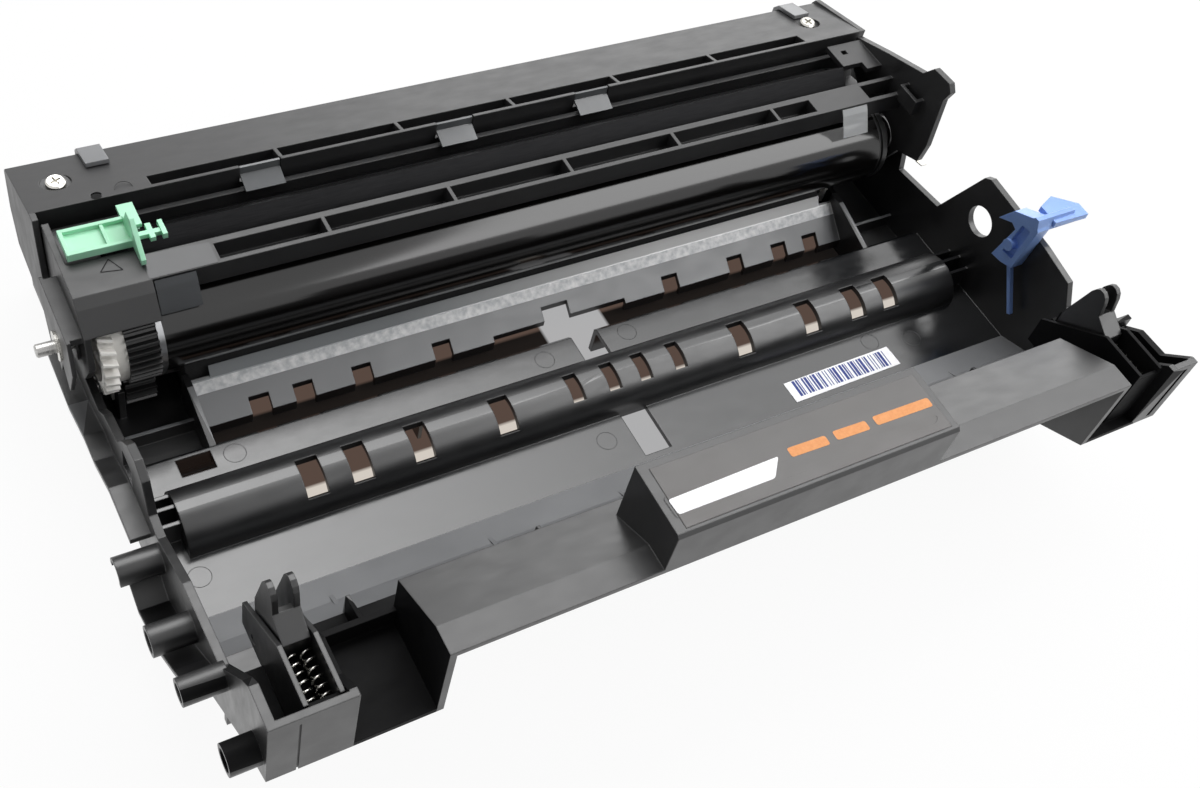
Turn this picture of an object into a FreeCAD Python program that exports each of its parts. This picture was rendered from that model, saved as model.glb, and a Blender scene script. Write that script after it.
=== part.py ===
import FreeCAD, Part
import math
import os

V = FreeCAD.Vector

# Printer drum unit. X runs along the drum, from the gear end to the contact end.
# Y runs from the handle at the front to the rear cover. Z is up from the surface it stands on.
# All sizes are millimetres.

# Side plates and walls
LEFT_FACE = -159.2
RIGHT_FACE = 145.8
PLATE = 2.4
WALL = 2.0
SHEET = 1.8
RIB = 1.2
MATE = 0.3
RUNNING = 0.05

# Toner bay floor
FLOOR_TOP = 13.5
FLOOR_BACK = 11.5
FLOOR_FRONT = -43.2
FACET_MID_Y = -53.5
FACET_MID_Z = 17.5
FACET_TOP_Y = -61.0
FACET_TOP_Z = 22.5
PRINT_CENTRE = -3.1
GAP_WIDTH = 10.0
GAP_FRONT = -41.0

# Round beam across the bay and the windows through it
BEAM_Y = -13.0
BEAM_RADIUS = 10.9
BEAM_LEFT = -150.0
BEAM_RIGHT = 134.0
WINDOW_OFFSETS = (5.9, 19.3, 45.0, 73.4, 93.3, 107.7)
WINDOW_WIDTH = 6.6
WINDOW_LOW_ANGLE = 40.0
SMALL_WINDOW_OFFSETS = WINDOW_OFFSETS[:2]
SMALL_WINDOW_WIDTH = 4.6
SMALL_WINDOW_LOW_ANGLE = 54.0
WINDOW_HIGH_ANGLE = 106.0

# Handle bar and label block at the front
FRONT_FACE = -104.0
HANDLE_HALF = 114.4
HANDLE_BACK = -77.9
HANDLE_BACK_Z = 61.6
HANDLE_STRIP_Y = -96.2
HANDLE_TOP = 70.8
BLOCK_LEFT = -54.4
BLOCK_RIGHT = 37.4
BLOCK_BACK = -81.4
BLOCK_TOP = 88.2
BOX_BOTTOM = 41.6
BOX_TOP = 70.2
POCKET_WALL_LEFT = -136.8
POCKET_WALL_RIGHT = 136.8

# Paper guide below the drum
GUIDE_LEFT = -130.0
GUIDE_RIGHT = 118.0
LIP_Y = 22.2
LIP_Z = 5.8
LIP_NOSE_Z = 1.9
LIP_END_Z = 14.8
NOTCH_DEPTH = 4.4
CENTRE_NOTCH_LEFT = -9.8
CENTRE_NOTCH_RIGHT = 0.4
CENTRE_NOTCH_DEPTH = 5.6
RECESS_LEFT = -29.6
RECESS_RIGHT = 22.2
RECESS_DEPTH = 1.6
FILM_TOP_Z = 18.0
FILM_STEP = 5.8
REAR_FACE = 99.0
EXIT_Z = 20.0

# Drum, its shaft and its gears
DRUM_Y = 43.7
DRUM_Z = 35.9
DRUM_RADIUS = 15.0
TUBE_WALL = 0.8
TUBE_LEFT = -139.2
TUBE_RIGHT = 127.0
FLANGE_RIGHT = 130.6
SHAFT_RADIUS = 2.0
SHAFT_LEFT = -170.7
SHAFT_RIGHT = 147.6
CLIP_THICKNESS = 0.8
CLIP_GROOVE = 0.4
GEAR_MODULE = 0.8
DRUM_TEETH = 38
DRIVE_MODULE = 1.2
DRIVE_TEETH = 27
GEAR_LEFT = -148.4
DRIVE_LEFT = -156.0
DRIVE_HUB_LEFT = -151.8
HUB_RADIUS = 14.6
HELIX_TWIST = 9.0

# Transfer roller
ROLLER_TEETH = 19
ROLLER_GAP = 0.3
ROLLER_SHAFT_RADIUS = 2.5
ROLLER_LEFT = -130.0
ROLLER_RIGHT = 113.0
ROLLER_SHAFT_LEFT = -156.0
ROLLER_SHAFT_RIGHT = 122.5

# Upper housing over the drum
HOUSING_LEFT = -159.6
HOUSING_RIGHT = 140.0
RAIL_TOP = 60.0
RAIL_FRONT = 38.9
RAIL_BACK = 48.6
RAIL_PITCH = 41.5
RAIL_FIRST_RIB = -83.9
RAIL_POCKET_LEFT = -118.0
RAIL_POCKET_RIGHT = 99.0
RAIL_POCKET_FRONT = 40.4
RAIL_POCKET_BACK = 46.4
RAIL_POCKET_DEPTH = 6.0

# Charger above and behind the drum
CHARGER_TILT = 41.0
SHIELD_WIDTH = 13.0
SHIELD_DEPTH = 10.5
SHIELD_WALL = 0.5
SHIELD_LEFT = -146.0
SHIELD_RIGHT = 121.0
WIRE_RADIUS = 0.1
WIRE_DISTANCE = 22.0

# Rear cover
COVER_LEFT = -161.8
COVER_RIGHT = 141.6
COVER_FRONT = 71.5
COVER_FRONT_Z = 61.6
COVER_REAR = 98.8
COVER_REAR_Z = 53.4
COVER_PITCH = 40.35
COVER_FIRST_RIB = -126.9
COVER_POCKET_FRONT = 72.9
COVER_POCKET_BACK = 78.0
SCREW_LEFT_X = -150.6
SCREW_RIGHT_X = 125.6
SCREW_Y = 85.4
SCREW_HEAD_RADIUS = 2.9

# Press levers and their springs
LEVER_LEFT_X = -144.2
LEVER_RIGHT_X = 129.6
LEVER_PIVOT_Y = -70.0
LEVER_PIVOT_Z = 46.0
LEVER_PIN_RADIUS = 1.6
LEVER_WIDTH = 7.0
SPRING_Z = 61.0
SPRING_FRONT = -99.4
SPRING_BACK = -84.2
SPRING_RADIUS = 1.5
SPRING_WIRE = 0.3
SPRING_TURNS = 6

# Release lever on the right plate
RELEASE_Y = -29.5
RELEASE_Z = 50.0
RELEASE_PIN_RADIUS = 2.2


def box(x0, x1, y0, y1, z0, z1):
    return Part.makeBox(x1 - x0, y1 - y0, z1 - z0, V(x0, y0, z0))


def prism_x(points, x0, x1):
    """A flat outline in the YZ plane, drawn out from x0 to x1."""
    ring = [V(x0, y, z) for y, z in points]
    face = Part.Face(Part.makePolygon(ring + [ring[0]]))
    return face.extrude(V(x1 - x0, 0, 0))


def prism_z(points, z0, z1):
    """A flat outline in the XY plane, drawn out from z0 to z1."""
    ring = [V(x, y, z0) for x, y in points]
    face = Part.Face(Part.makePolygon(ring + [ring[0]]))
    return face.extrude(V(0, 0, z1 - z0))


def rod(x0, x1, y, z, radius):
    return Part.makeCylinder(radius, x1 - x0, V(x0, y, z), V(1, 0, 0))


def upright(x, y, z0, z1, radius):
    return Part.makeCylinder(radius, z1 - z0, V(x, y, z0), V(0, 0, 1))


def joined(shapes):
    whole = shapes[0].fuse(shapes[1:])
    return whole.removeSplitter()


def folded(points, thickness, x0, x1):
    """A sheet bent along the points, its thickness on the right-hand side of the walk."""
    count = len(points)
    normals = []
    for a, b in zip(points[:-1], points[1:]):
        length = math.hypot(b[0] - a[0], b[1] - a[1])
        normals.append(((b[1] - a[1]) / length, -(b[0] - a[0]) / length))
    offset = []
    for i in range(count):
        before = normals[max(i - 1, 0)]
        after = normals[min(i, count - 2)]
        share = 1 + before[0] * after[0] + before[1] * after[1]
        offset.append((points[i][0] + thickness * (before[0] + after[0]) / share,
                       points[i][1] + thickness * (before[1] + after[1]) / share))
    return prism_x(list(points) + offset[::-1], x0, x1)


def gear_wire(x, y, z, module, teeth, turn):
    """Outline of a toothed wheel at the plane x, with narrow-topped teeth."""
    pitch_radius = module * teeth / 2
    root = pitch_radius - 1.15 * module
    tip = pitch_radius + 0.85 * module
    step = 2 * math.pi / teeth
    ring = []
    for i in range(teeth):
        for radius, part in ((root, -0.32), (tip, -0.11), (tip, 0.11), (root, 0.32)):
            angle = (i + part) * step + math.radians(turn)
            ring.append(V(x, y + radius * math.cos(angle), z + radius * math.sin(angle)))
    return Part.makePolygon(ring + [ring[0]])


def helical_gear(x0, x1, y, z, module, teeth, turn, twist):
    wires = [gear_wire(x0, y, z, module, teeth, turn), gear_wire(x1, y, z, module, teeth, turn + twist)]
    return Part.makeLoft(wires, True, True)


def coil(x, y0, y1, z, radius, wire, turns):
    """A compression spring along Y, with its ends closed by flat rings."""
    height = y1 - y0 - 2 * wire
    helix = Part.makeHelix(height / turns, height, radius)
    section = Part.Wire(Part.makeCircle(wire, V(radius, 0, 0), V(0, 1, 0)))
    body = Part.Wire(helix).makePipeShell([section], True, True)
    body.rotate(V(0, 0, 0), V(1, 0, 0), -90)
    body.translate(V(x, y0 + wire, z))
    return body


# Places that several pieces share
BAY_LEFT = LEFT_FACE + PLATE
BAY_RIGHT = RIGHT_FACE - PLATE
ROLLER_RADIUS = GEAR_MODULE * (DRUM_TEETH + ROLLER_TEETH) / 2 - DRUM_RADIUS - ROLLER_GAP
ROLLER_Y = DRUM_Y
ROLLER_Z = DRUM_Z - GEAR_MODULE * (DRUM_TEETH + ROLLER_TEETH) / 2
TROUGH_HALF = ROLLER_RADIUS + 0.8
RAIL_BOTTOM = DRUM_Z + DRUM_RADIUS + 1.7
GRID_DISTANCE = DRUM_RADIUS + 1.8
LIP_END_Y = ROLLER_Y - TROUGH_HALF - 0.9
FILM_LOW_Y = LIP_END_Y - 4.1
FILM_FOLD_Y = LIP_END_Y - 0.7
FILM_TOP_Y = LIP_END_Y + 1.4
CLIP_LEFT = HOUSING_LEFT - 4.6 - CLIP_THICKNESS
TILT_Y = math.sin(math.radians(CHARGER_TILT))
TILT_Z = math.cos(math.radians(CHARGER_TILT))


def charger_point(along, across):
    """A place in the charger's own section: along the tilt from the drum axis, and across it."""
    return (DRUM_Y + along * TILT_Y + across * TILT_Z,
            DRUM_Z + along * TILT_Z - across * TILT_Y)


def over_drum(angle, gap):
    """A place at a gap from the drum's surface, at an angle from straight above it."""
    turn = math.radians(angle)
    reach = DRUM_RADIUS + gap
    return (DRUM_Y + reach * math.sin(turn), DRUM_Z + reach * math.cos(turn))


def charger_bar(x0, x1, along0, along1, across0, across1):
    corners = [charger_point(along0, across0), charger_point(along1, across0),
               charger_point(along1, across1), charger_point(along0, across1)]
    return prism_x(corners, x0, x1)


def cover_z(y):
    """Height of the rear cover's top at y."""
    slope = (COVER_REAR_Z - COVER_FRONT_Z) / (COVER_REAR - COVER_FRONT)
    return COVER_FRONT_Z + slope * (y - COVER_FRONT)


def bay_floor():
    """Floor panel, its two rising facets and the bar that the hand takes."""
    floor = folded([(FACET_TOP_Y, FACET_TOP_Z), (FACET_MID_Y, FACET_MID_Z),
                    (FLOOR_FRONT, FLOOR_TOP), (FLOOR_BACK - 1.5, FLOOR_TOP),
                    (FLOOR_BACK, FLOOR_TOP - 1.5), (FLOOR_BACK, FLOOR_TOP - 5)],
                   SHEET, BAY_LEFT - 0.5, BAY_RIGHT + 0.5)
    shelf = box(BAY_LEFT - 0.5, BAY_RIGHT + 0.5, HANDLE_BACK, FACET_TOP_Y + 0.6,
                FACET_TOP_Z - SHEET, FACET_TOP_Z)
    bar = folded([(HANDLE_BACK, FACET_TOP_Z - SHEET), (HANDLE_BACK, HANDLE_BACK_Z),
                  (HANDLE_STRIP_Y, HANDLE_TOP), (FRONT_FACE, HANDLE_TOP)][::-1],
                 -SHEET, -HANDLE_HALF, HANDLE_HALF)
    return joined([floor, shelf, bar])


def label_block():
    """Hollow raised block in the middle of the bar, open below."""
    outside = prism_x([(FRONT_FACE, HANDLE_TOP), (FRONT_FACE, BLOCK_TOP - 1.0),
                       (FRONT_FACE + 1.0, BLOCK_TOP), (BLOCK_BACK, BLOCK_TOP),
                       (BLOCK_BACK, HANDLE_BACK_Z), (HANDLE_STRIP_Y, HANDLE_TOP - SHEET)],
                      BLOCK_LEFT, BLOCK_RIGHT)
    inside = prism_x([(FRONT_FACE + SHEET, HANDLE_TOP - 3 * SHEET), (FRONT_FACE + SHEET, BLOCK_TOP - SHEET),
                      (BLOCK_BACK - SHEET, BLOCK_TOP - SHEET), (BLOCK_BACK - SHEET, HANDLE_BACK_Z - SHEET)],
                     BLOCK_LEFT + SHEET, BLOCK_RIGHT - SHEET)
    return outside, inside


def handle_end(x0, x1):
    """Upright plate that closes one end of the bar."""
    return prism_x([(HANDLE_BACK, 27.4), (HANDLE_BACK, HANDLE_BACK_Z),
                    (HANDLE_STRIP_Y, HANDLE_TOP), (FRONT_FACE, HANDLE_TOP), (FRONT_FACE, BOX_BOTTOM)],
                   x0, x1)


def pocket_profile():
    """Outline of the walls beside the two finger pockets."""
    return [(-60.0, FACET_TOP_Z - SHEET), (-60.0, 46.0), (-64.0, 46.0), (-83.5, 62.3), (-94.0, 62.6),
            (-101.6, BOX_TOP - 0.1), (FRONT_FACE, BOX_TOP), (FRONT_FACE, BOX_BOTTOM), (-88.0, 30.0)]


def left_plate():
    """Outer left wall, with the arch over the beam's end and the low rail side by the gears."""
    outline = [(FRONT_FACE, BOX_TOP), (FRONT_FACE, BOX_BOTTOM), (-85.6, 31.8), (-66.6, 16.5),
               (-48.0, 0.0), (REAR_FACE, 0.0), (REAR_FACE, 30.0),
               (72.0, 42.0), (69.0, 24.5), (26.0, 24.5), (20.0, 30.0), (8.0, 33.0), (3.0, 40.0), (-2.5, 45.5),
               (-9.0, 47.0), (-14.5, 44.0), (-19.0, 34.0), (-25.7, 32.7), (-41.4, 39.6), (-45.9, 41.7),
               (-73.2, 45.1), (-88.2, 66.3), (-92.0, BOX_TOP)]
    plate = prism_x(outline, LEFT_FACE, LEFT_FACE + PLATE)
    return plate.cut(box(LEFT_FACE - 1, LEFT_FACE + PLATE + 1, -5.0, 3.0, 28.0, 36.0))


def right_plate():
    """Outer right wall, with a locating hole and the high lug for the release lever."""
    outline = [(FRONT_FACE, BOX_TOP), (FRONT_FACE, BOX_BOTTOM), (-85.6, 31.8), (-66.6, 16.5),
               (-48.0, 0.0), (REAR_FACE, 0.0), (REAR_FACE, 30.0),
               (72.0, 44.0), (50.0, 44.0), (33.0, 35.5), (30.6, 27.4), (7.6, 30.3), (-4.4, 56.5),
               (-7.1, 58.1), (-38.6, 56.0), (-53.4, 53.5), (-58.0, 45.6), (-62.0, 46.5),
               (-83.5, 62.3), (-94.0, 62.6), (-101.6, BOX_TOP - 0.1)]
    plate = prism_x(outline, RIGHT_FACE - PLATE, RIGHT_FACE)
    plate = plate.cut(rod(RIGHT_FACE - PLATE - 1, RIGHT_FACE + 1, -11.5, 41.5, 5.8))
    plate = plate.cut(rod(RIGHT_FACE - PLATE - 1, RIGHT_FACE + 1, RELEASE_Y, RELEASE_Z,
                          RELEASE_PIN_RADIUS + RUNNING))
    return plate.cut(rod(RIGHT_FACE - PLATE - 1, RIGHT_FACE + 1, DRUM_Y, DRUM_Z, SHAFT_RADIUS + 2))


def window_cutters():
    """Wedges that open the twelve windows through the round beam."""
    cutters = []
    for offset in WINDOW_OFFSETS:
        small = offset in SMALL_WINDOW_OFFSETS
        half = (SMALL_WINDOW_WIDTH if small else WINDOW_WIDTH) / 2
        low = SMALL_WINDOW_LOW_ANGLE if small else WINDOW_LOW_ANGLE
        for side in (-1, 1):
            middle = PRINT_CENTRE + side * offset
            wedge = [(BEAM_Y, FLOOR_TOP - 2.0)]
            for angle in (low, 60.0, 85.0, WINDOW_HIGH_ANGLE):
                turn = math.radians(angle)
                wedge.append((BEAM_Y - 14 * math.cos(turn), FLOOR_TOP + 14 * math.sin(turn)))
            cutters.append(prism_x(wedge, middle - half, middle + half))
    return cutters


def round_beam():
    """Half-round hollow beam that stands on the bay floor."""
    keep = box(BEAM_LEFT - 1, BEAM_RIGHT + 1, BEAM_Y - 20, BEAM_Y + 20, FLOOR_TOP - SHEET, FLOOR_TOP + 20)
    outer = rod(BEAM_LEFT, BEAM_RIGHT, BEAM_Y, FLOOR_TOP, BEAM_RADIUS).common(keep)
    return outer, beam_room(BEAM_LEFT + WALL, BEAM_RIGHT - WALL)


def paper_guide():
    """Sloping lip with its notches, the roller trough and the exit ramp behind it."""
    lip = folded([(LIP_Y, LIP_Z), (LIP_END_Y, LIP_END_Z)], SHEET, GUIDE_LEFT, GUIDE_RIGHT)
    front_wall = box(GUIDE_LEFT, GUIDE_RIGHT, ROLLER_Y - TROUGH_HALF - SHEET, ROLLER_Y - TROUGH_HALF,
                     2.0, LIP_END_Z - 1.0)
    bottom = box(GUIDE_LEFT, GUIDE_RIGHT, ROLLER_Y - TROUGH_HALF - SHEET,
                 ROLLER_Y + TROUGH_HALF + SHEET, 2.0, 2.0 + SHEET)
    rear_wall = box(GUIDE_LEFT, GUIDE_RIGHT, ROLLER_Y + TROUGH_HALF, ROLLER_Y + TROUGH_HALF + SHEET,
                    2.0, LIP_END_Z)
    ramp = folded([(ROLLER_Y + TROUGH_HALF, LIP_END_Z), (REAR_FACE, EXIT_Z)], SHEET,
                  GUIDE_LEFT, GUIDE_RIGHT)
    nose = box(GUIDE_LEFT, GUIDE_RIGHT, LIP_Y, LIP_Y + RIB, LIP_NOSE_Z, LIP_Z)
    guide = joined([lip, nose, front_wall, bottom, rear_wall, ramp])
    for offset in WINDOW_OFFSETS[2:]:
        for side in (-1, 1):
            middle = PRINT_CENTRE + side * offset
            guide = guide.cut(box(middle - WINDOW_WIDTH / 2, middle + WINDOW_WIDTH / 2, LIP_Y - 3,
                                  LIP_Y + NOTCH_DEPTH, 0.0, 20.0))
    guide = guide.cut(box(CENTRE_NOTCH_LEFT, CENTRE_NOTCH_RIGHT, LIP_Y - 3, LIP_Y + CENTRE_NOTCH_DEPTH,
                          0.0, 20.0))
    return guide.cut(box(RECESS_LEFT, RECESS_RIGHT, LIP_Y - 3, LIP_Y + RECESS_DEPTH, 0.0, 20.0))


def guide_ribs():
    """Cross ribs under the lip and the ramp, down to the surface that the unit stands on."""
    ribs = []
    for offset in (-120.0, -85.0, -60.0, -30.0, 30.0, 60.0, 85.0):
        x = PRINT_CENTRE + offset
        ribs.append(prism_x([(LIP_Y + 1, 2.0), (LIP_Y + 1, LIP_Z - 0.5), (LIP_END_Y, LIP_END_Z - 1.5),
                             (LIP_END_Y, 0.0), (LIP_Y + 3, 0.0)], x, x + RIB))
        ribs.append(prism_x([(ROLLER_Y + TROUGH_HALF + 1, 0.0), (ROLLER_Y + TROUGH_HALF + 1, LIP_END_Z - 1.5),
                             (REAR_FACE, EXIT_Z - 1.5), (REAR_FACE, 8.0), (90.0, 0.0)], x, x + RIB))
    return ribs


def lower_ends():
    """Inner side walls and floors of the end compartments on both sides of the paper guide."""
    walls = []
    for x0, x1 in ((GUIDE_LEFT - WALL, GUIDE_LEFT), (GUIDE_RIGHT, GUIDE_RIGHT + WALL)):
        walls.append(prism_x([(FLOOR_BACK - 3, FLOOR_TOP - 6), (FLOOR_BACK - 3, FLOOR_TOP - 1),
                              (30.0, 18.0), (35.0, 18.0), (35.0, 4.5), (52.4, 4.5), (52.4, 18.0), (62.0, 22.0),
                              (REAR_FACE, EXIT_Z), (REAR_FACE, 0.0), (18.0, 0.0)], x0, x1))
    floors = [box(BAY_LEFT - 0.5, GUIDE_LEFT, FLOOR_BACK - 2, REAR_FACE, 2.0, 2.0 + SHEET),
              box(GUIDE_RIGHT, BAY_RIGHT + 0.5, FLOOR_BACK - 2, REAR_FACE, 2.0, 2.0 + SHEET),
              box(BAY_LEFT - 0.5, PRINT_CENTRE - GAP_WIDTH / 2, FLOOR_BACK - SHEET, FLOOR_BACK, 2.0, 10.0),
              box(PRINT_CENTRE + GAP_WIDTH / 2, BAY_RIGHT + 0.5, FLOOR_BACK - SHEET, FLOOR_BACK, 2.0, 10.0)]
    for y in (24.0, 58.0, 80.0):
        floors.append(box(BAY_LEFT - 0.5, GUIDE_LEFT - WALL, y, y + RIB, 2.0, 9.0 if y < 40 else 16.0))
        floors.append(box(GUIDE_RIGHT + WALL, BAY_RIGHT + 0.5, y, y + RIB, 2.0, 9.0 if y < 40 else 16.0))
    rear = box(BAY_LEFT - 0.5, BAY_RIGHT + 0.5, REAR_FACE - WALL, REAR_FACE, 0.0, 7.0)
    return walls + floors + [rear]


def main_frame():
    """The one moulding that holds the toner, carries the drum and takes the hand."""
    beam, beam_inside = round_beam()
    block, block_inside = label_block()
    body = joined([bay_floor(), beam, block])
    body = body.cut([beam_inside, block_inside] + window_cutters())
    gap_left = PRINT_CENTRE - GAP_WIDTH / 2
    body = body.cut(box(gap_left, gap_left + GAP_WIDTH, BEAM_Y + BEAM_RADIUS, FLOOR_BACK + 3, 0, FLOOR_TOP + 1))
    body = body.cut(box(gap_left, gap_left + GAP_WIDTH, GAP_FRONT, BEAM_Y - BEAM_RADIUS, 0, FLOOR_TOP + 3))
    body = body.cut(box(-143.0, -132.5, 2.7, 9.0, 0, FLOOR_TOP + 1))
    pieces = [body, left_plate(), right_plate(), paper_guide()] + guide_ribs() + lower_ends()
    for x0, x1 in ((-HANDLE_HALF, WALL - HANDLE_HALF), (HANDLE_HALF - WALL, HANDLE_HALF)):
        pieces.append(handle_end(x0, x1))
    pieces.append(prism_x(pocket_profile(), POCKET_WALL_LEFT - WALL, POCKET_WALL_LEFT))
    pieces.append(prism_x(pocket_profile(), POCKET_WALL_RIGHT - WALL, POCKET_WALL_RIGHT))
    for x0, x1 in ((POCKET_WALL_LEFT, -HANDLE_HALF), (HANDLE_HALF, POCKET_WALL_RIGHT)):
        pieces.append(box(x0, x1, FRONT_FACE, HANDLE_BACK, BOX_BOTTOM, BOX_BOTTOM + SHEET))
        pieces.append(box(x0, x1, HANDLE_BACK, HANDLE_BACK + SHEET, FACET_TOP_Z - SHEET, 50.0))
    pieces.append(box(LEFT_FACE, POCKET_WALL_LEFT, FRONT_FACE, FRONT_FACE + WALL, BOX_BOTTOM, BOX_TOP))
    pieces.append(box(LEFT_FACE, POCKET_WALL_LEFT, FRONT_FACE, HANDLE_BACK, BOX_BOTTOM, BOX_BOTTOM + SHEET))
    pieces.append(box(LEFT_FACE, POCKET_WALL_LEFT, HANDLE_BACK, HANDLE_BACK + SHEET, FACET_TOP_Z - SHEET,
                      BOX_BOTTOM + SHEET))
    pieces.append(box(POCKET_WALL_RIGHT, RIGHT_FACE, FRONT_FACE, FRONT_FACE + WALL, BOX_BOTTOM, BOX_TOP))
    pieces.append(box(POCKET_WALL_RIGHT, RIGHT_FACE, HANDLE_BACK, HANDLE_BACK + SHEET, FACET_TOP_Z - SHEET,
                      62.0))
    pieces += fins() + trays() + bosses() + side_rail() + beam_clips() + drum_carriers()
    frame = joined(pieces)
    half = LEVER_WIDTH / 2 + 0.4
    frame = frame.cut(box(LEVER_RIGHT_X - half, LEVER_RIGHT_X + half, HANDLE_BACK - 1, HANDLE_BACK + SHEET + 1,
                          BOX_BOTTOM + SHEET, 60.0))
    frame = frame.cut(box(141.0, 142.6, FRONT_FACE - 1, FRONT_FACE + 0.8, BOX_BOTTOM + 2, BOX_TOP - 2))
    return frame.cut(box(-151.6, -151.0, FRONT_FACE - 1, FRONT_FACE + 0.5, BOX_BOTTOM - 1, BOX_TOP - 3))


def fins():
    """Small stiffeners on the shelf behind the bar, and ribs under the bay floor."""
    shapes = []
    for x in (-119.6, -61.0, 106.6):
        shapes.append(prism_x([(-59.4, FACET_TOP_Z - SHEET), (-59.8, 31.0), (-63.0, 31.6),
                               (HANDLE_BACK + 1, 36.0), (HANDLE_BACK + 1, FACET_TOP_Z - SHEET)], x, x + RIB))
    for x in (-120.0, -70.0, -25.0, 20.0, 65.0, 110.0):
        shapes.append(prism_x([(FLOOR_BACK - 2, FLOOR_TOP - SHEET / 2), (FLOOR_FRONT, FLOOR_TOP - SHEET / 2),
                               (FACET_TOP_Y, FACET_TOP_Z - SHEET / 2), (FACET_TOP_Y, 13.0), (FLOOR_FRONT, 5.0),
                               (FLOOR_BACK - 2, 5.0)], x, x + RIB).cut(beam_room(x - 1, x + RIB + 1)))
    return shapes


def beam_room(x0, x1):
    """Open space inside the round beam and straight below it."""
    inner = rod(x0, x1, BEAM_Y, FLOOR_TOP, BEAM_RADIUS - WALL)
    return inner.fuse(box(x0, x1, BEAM_Y - BEAM_RADIUS + WALL, BEAM_Y + BEAM_RADIUS - WALL, 0, FLOOR_TOP))


def trays():
    """Walled tray around each press lever, with its cross wall for the springs."""
    shapes = []
    half = LEVER_WIDTH / 2 + 1.0
    for x in (LEVER_LEFT_X, LEVER_RIGHT_X):
        for side in (-1, 1):
            x0 = x + side * half - RIB / 2
            wall = prism_x([(-62.0, BOX_BOTTOM), (-62.0, 52.0), (-84.0, 68.0),
                            (SPRING_FRONT - 1.2, 68.0), (SPRING_FRONT - 1.2, BOX_BOTTOM)], x0, x0 + RIB)
            wall = wall.cut(rod(x0 - 1, x0 + RIB + 1, LEVER_PIVOT_Y, LEVER_PIVOT_Z, LEVER_PIN_RADIUS + RUNNING))
            shapes.append(wall)
        shapes.append(box(x - half, x + half, SPRING_FRONT - 1.2, SPRING_FRONT, BOX_BOTTOM, 66.0))
        shapes.append(box(x - half, x + half, SPRING_FRONT - 1.2, HANDLE_BACK, BOX_BOTTOM, BOX_BOTTOM + SHEET))
    return shapes


def bosses():
    """Hollow round bosses on the outside of the left plate, and the ledge that joins three of them."""
    shapes = []
    for y, z, reach, radius in ((-98.0, 49.2, 8.0, 4.3), (-75.6, 44.6, 11.2, 3.8), (-53.0, 31.0, 11.6, 4.4)):
        outer = rod(LEFT_FACE - reach, LEFT_FACE + 1, y, z, radius)
        shapes.append(outer.cut(rod(LEFT_FACE - reach - 1, LEFT_FACE - 2, y, z, radius - RIB)))
    half_pipe = rod(LEFT_FACE - 12.2, LEFT_FACE + 1, -27.5, 25.5, 4.4)
    half_pipe = half_pipe.cut(rod(LEFT_FACE - 13, LEFT_FACE - 2, -27.5, 25.5, 4.4 - RIB))
    half_pipe = half_pipe.cut(box(LEFT_FACE - 13, LEFT_FACE - 2, -33.0, -22.0, 20.0, 24.6))
    shapes.append(half_pipe)
    ledge = [(-23.6, 24.6), (-25.6, 15.0), (-33.0, 11.2), (-51.0, 20.0), (-63.0, 31.0), (-73.0, 41.5)]
    shapes.append(folded(ledge, -RIB, LEFT_FACE - 8.6, LEFT_FACE + 0.5))
    return shapes


def side_rail():
    """Ledge along the outside of the left plate that guides the unit into the machine."""
    route = [(60.0, 14.0), (38.0, 12.5), (22.0, 18.0), (12.0, 18.5), (-2.0, 24.5), (-20.0, 25.0)]
    return [folded(route, SHEET, LEFT_FACE - 5.8, LEFT_FACE + 0.5)]


def beam_clips():
    """Ribbed blocks between each end of the round beam and its side plate."""
    shapes = []
    for x0, x1 in ((BAY_LEFT - 0.5, BEAM_LEFT + 0.5), (BEAM_RIGHT - 0.5, BAY_RIGHT + 0.5)):
        shapes.append(box(x0, x1, BEAM_Y - 4, BEAM_Y - 4 + RIB, FLOOR_TOP - 1, FLOOR_TOP + 8.5))
        shapes.append(box(x0, x1, BEAM_Y + 1, BEAM_Y + 1 + RIB, FLOOR_TOP - 1, FLOOR_TOP + 9.5))
        shapes.append(box(x0, x1, BEAM_Y + 6, BEAM_Y + 6 + RIB, FLOOR_TOP - 1, FLOOR_TOP + 7.5))
    return shapes


def drum_carriers():
    """Webs inside both plates that hold the bushes of the drum shaft and the roller bearings."""
    shapes = []
    for x0, x1 in ((BAY_RIGHT - 4.0, BAY_RIGHT + 0.5),):
        web = rod(x0, x1, DRUM_Y, DRUM_Z, 6.5)
        shapes.append(web.cut(rod(x0 - 1, x1 + 1, DRUM_Y, DRUM_Z, SHAFT_RADIUS + 2)))
    for x0, x1 in ((-151.0, -149.0), (119.6, 121.6)):
        post = box(x0, x1, ROLLER_Y - 8, ROLLER_Y + 8, 2.0, ROLLER_Z + 3.5)
        slot = box(x0 - 1, x1 + 1, ROLLER_Y - 3.4, ROLLER_Y + 3.4, ROLLER_Z - 5.5, ROLLER_Z + 10)
        shapes.append(post.cut(slot))
    return shapes


def drum_tube():
    tube = rod(TUBE_LEFT, TUBE_RIGHT, DRUM_Y, DRUM_Z, DRUM_RADIUS)
    return tube.cut(rod(TUBE_LEFT - 1, TUBE_RIGHT + 1, DRUM_Y, DRUM_Z, DRUM_RADIUS - TUBE_WALL))


def shaft_bore(x0, x1):
    return rod(x0, x1, DRUM_Y, DRUM_Z, SHAFT_RADIUS + RUNNING)


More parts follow.
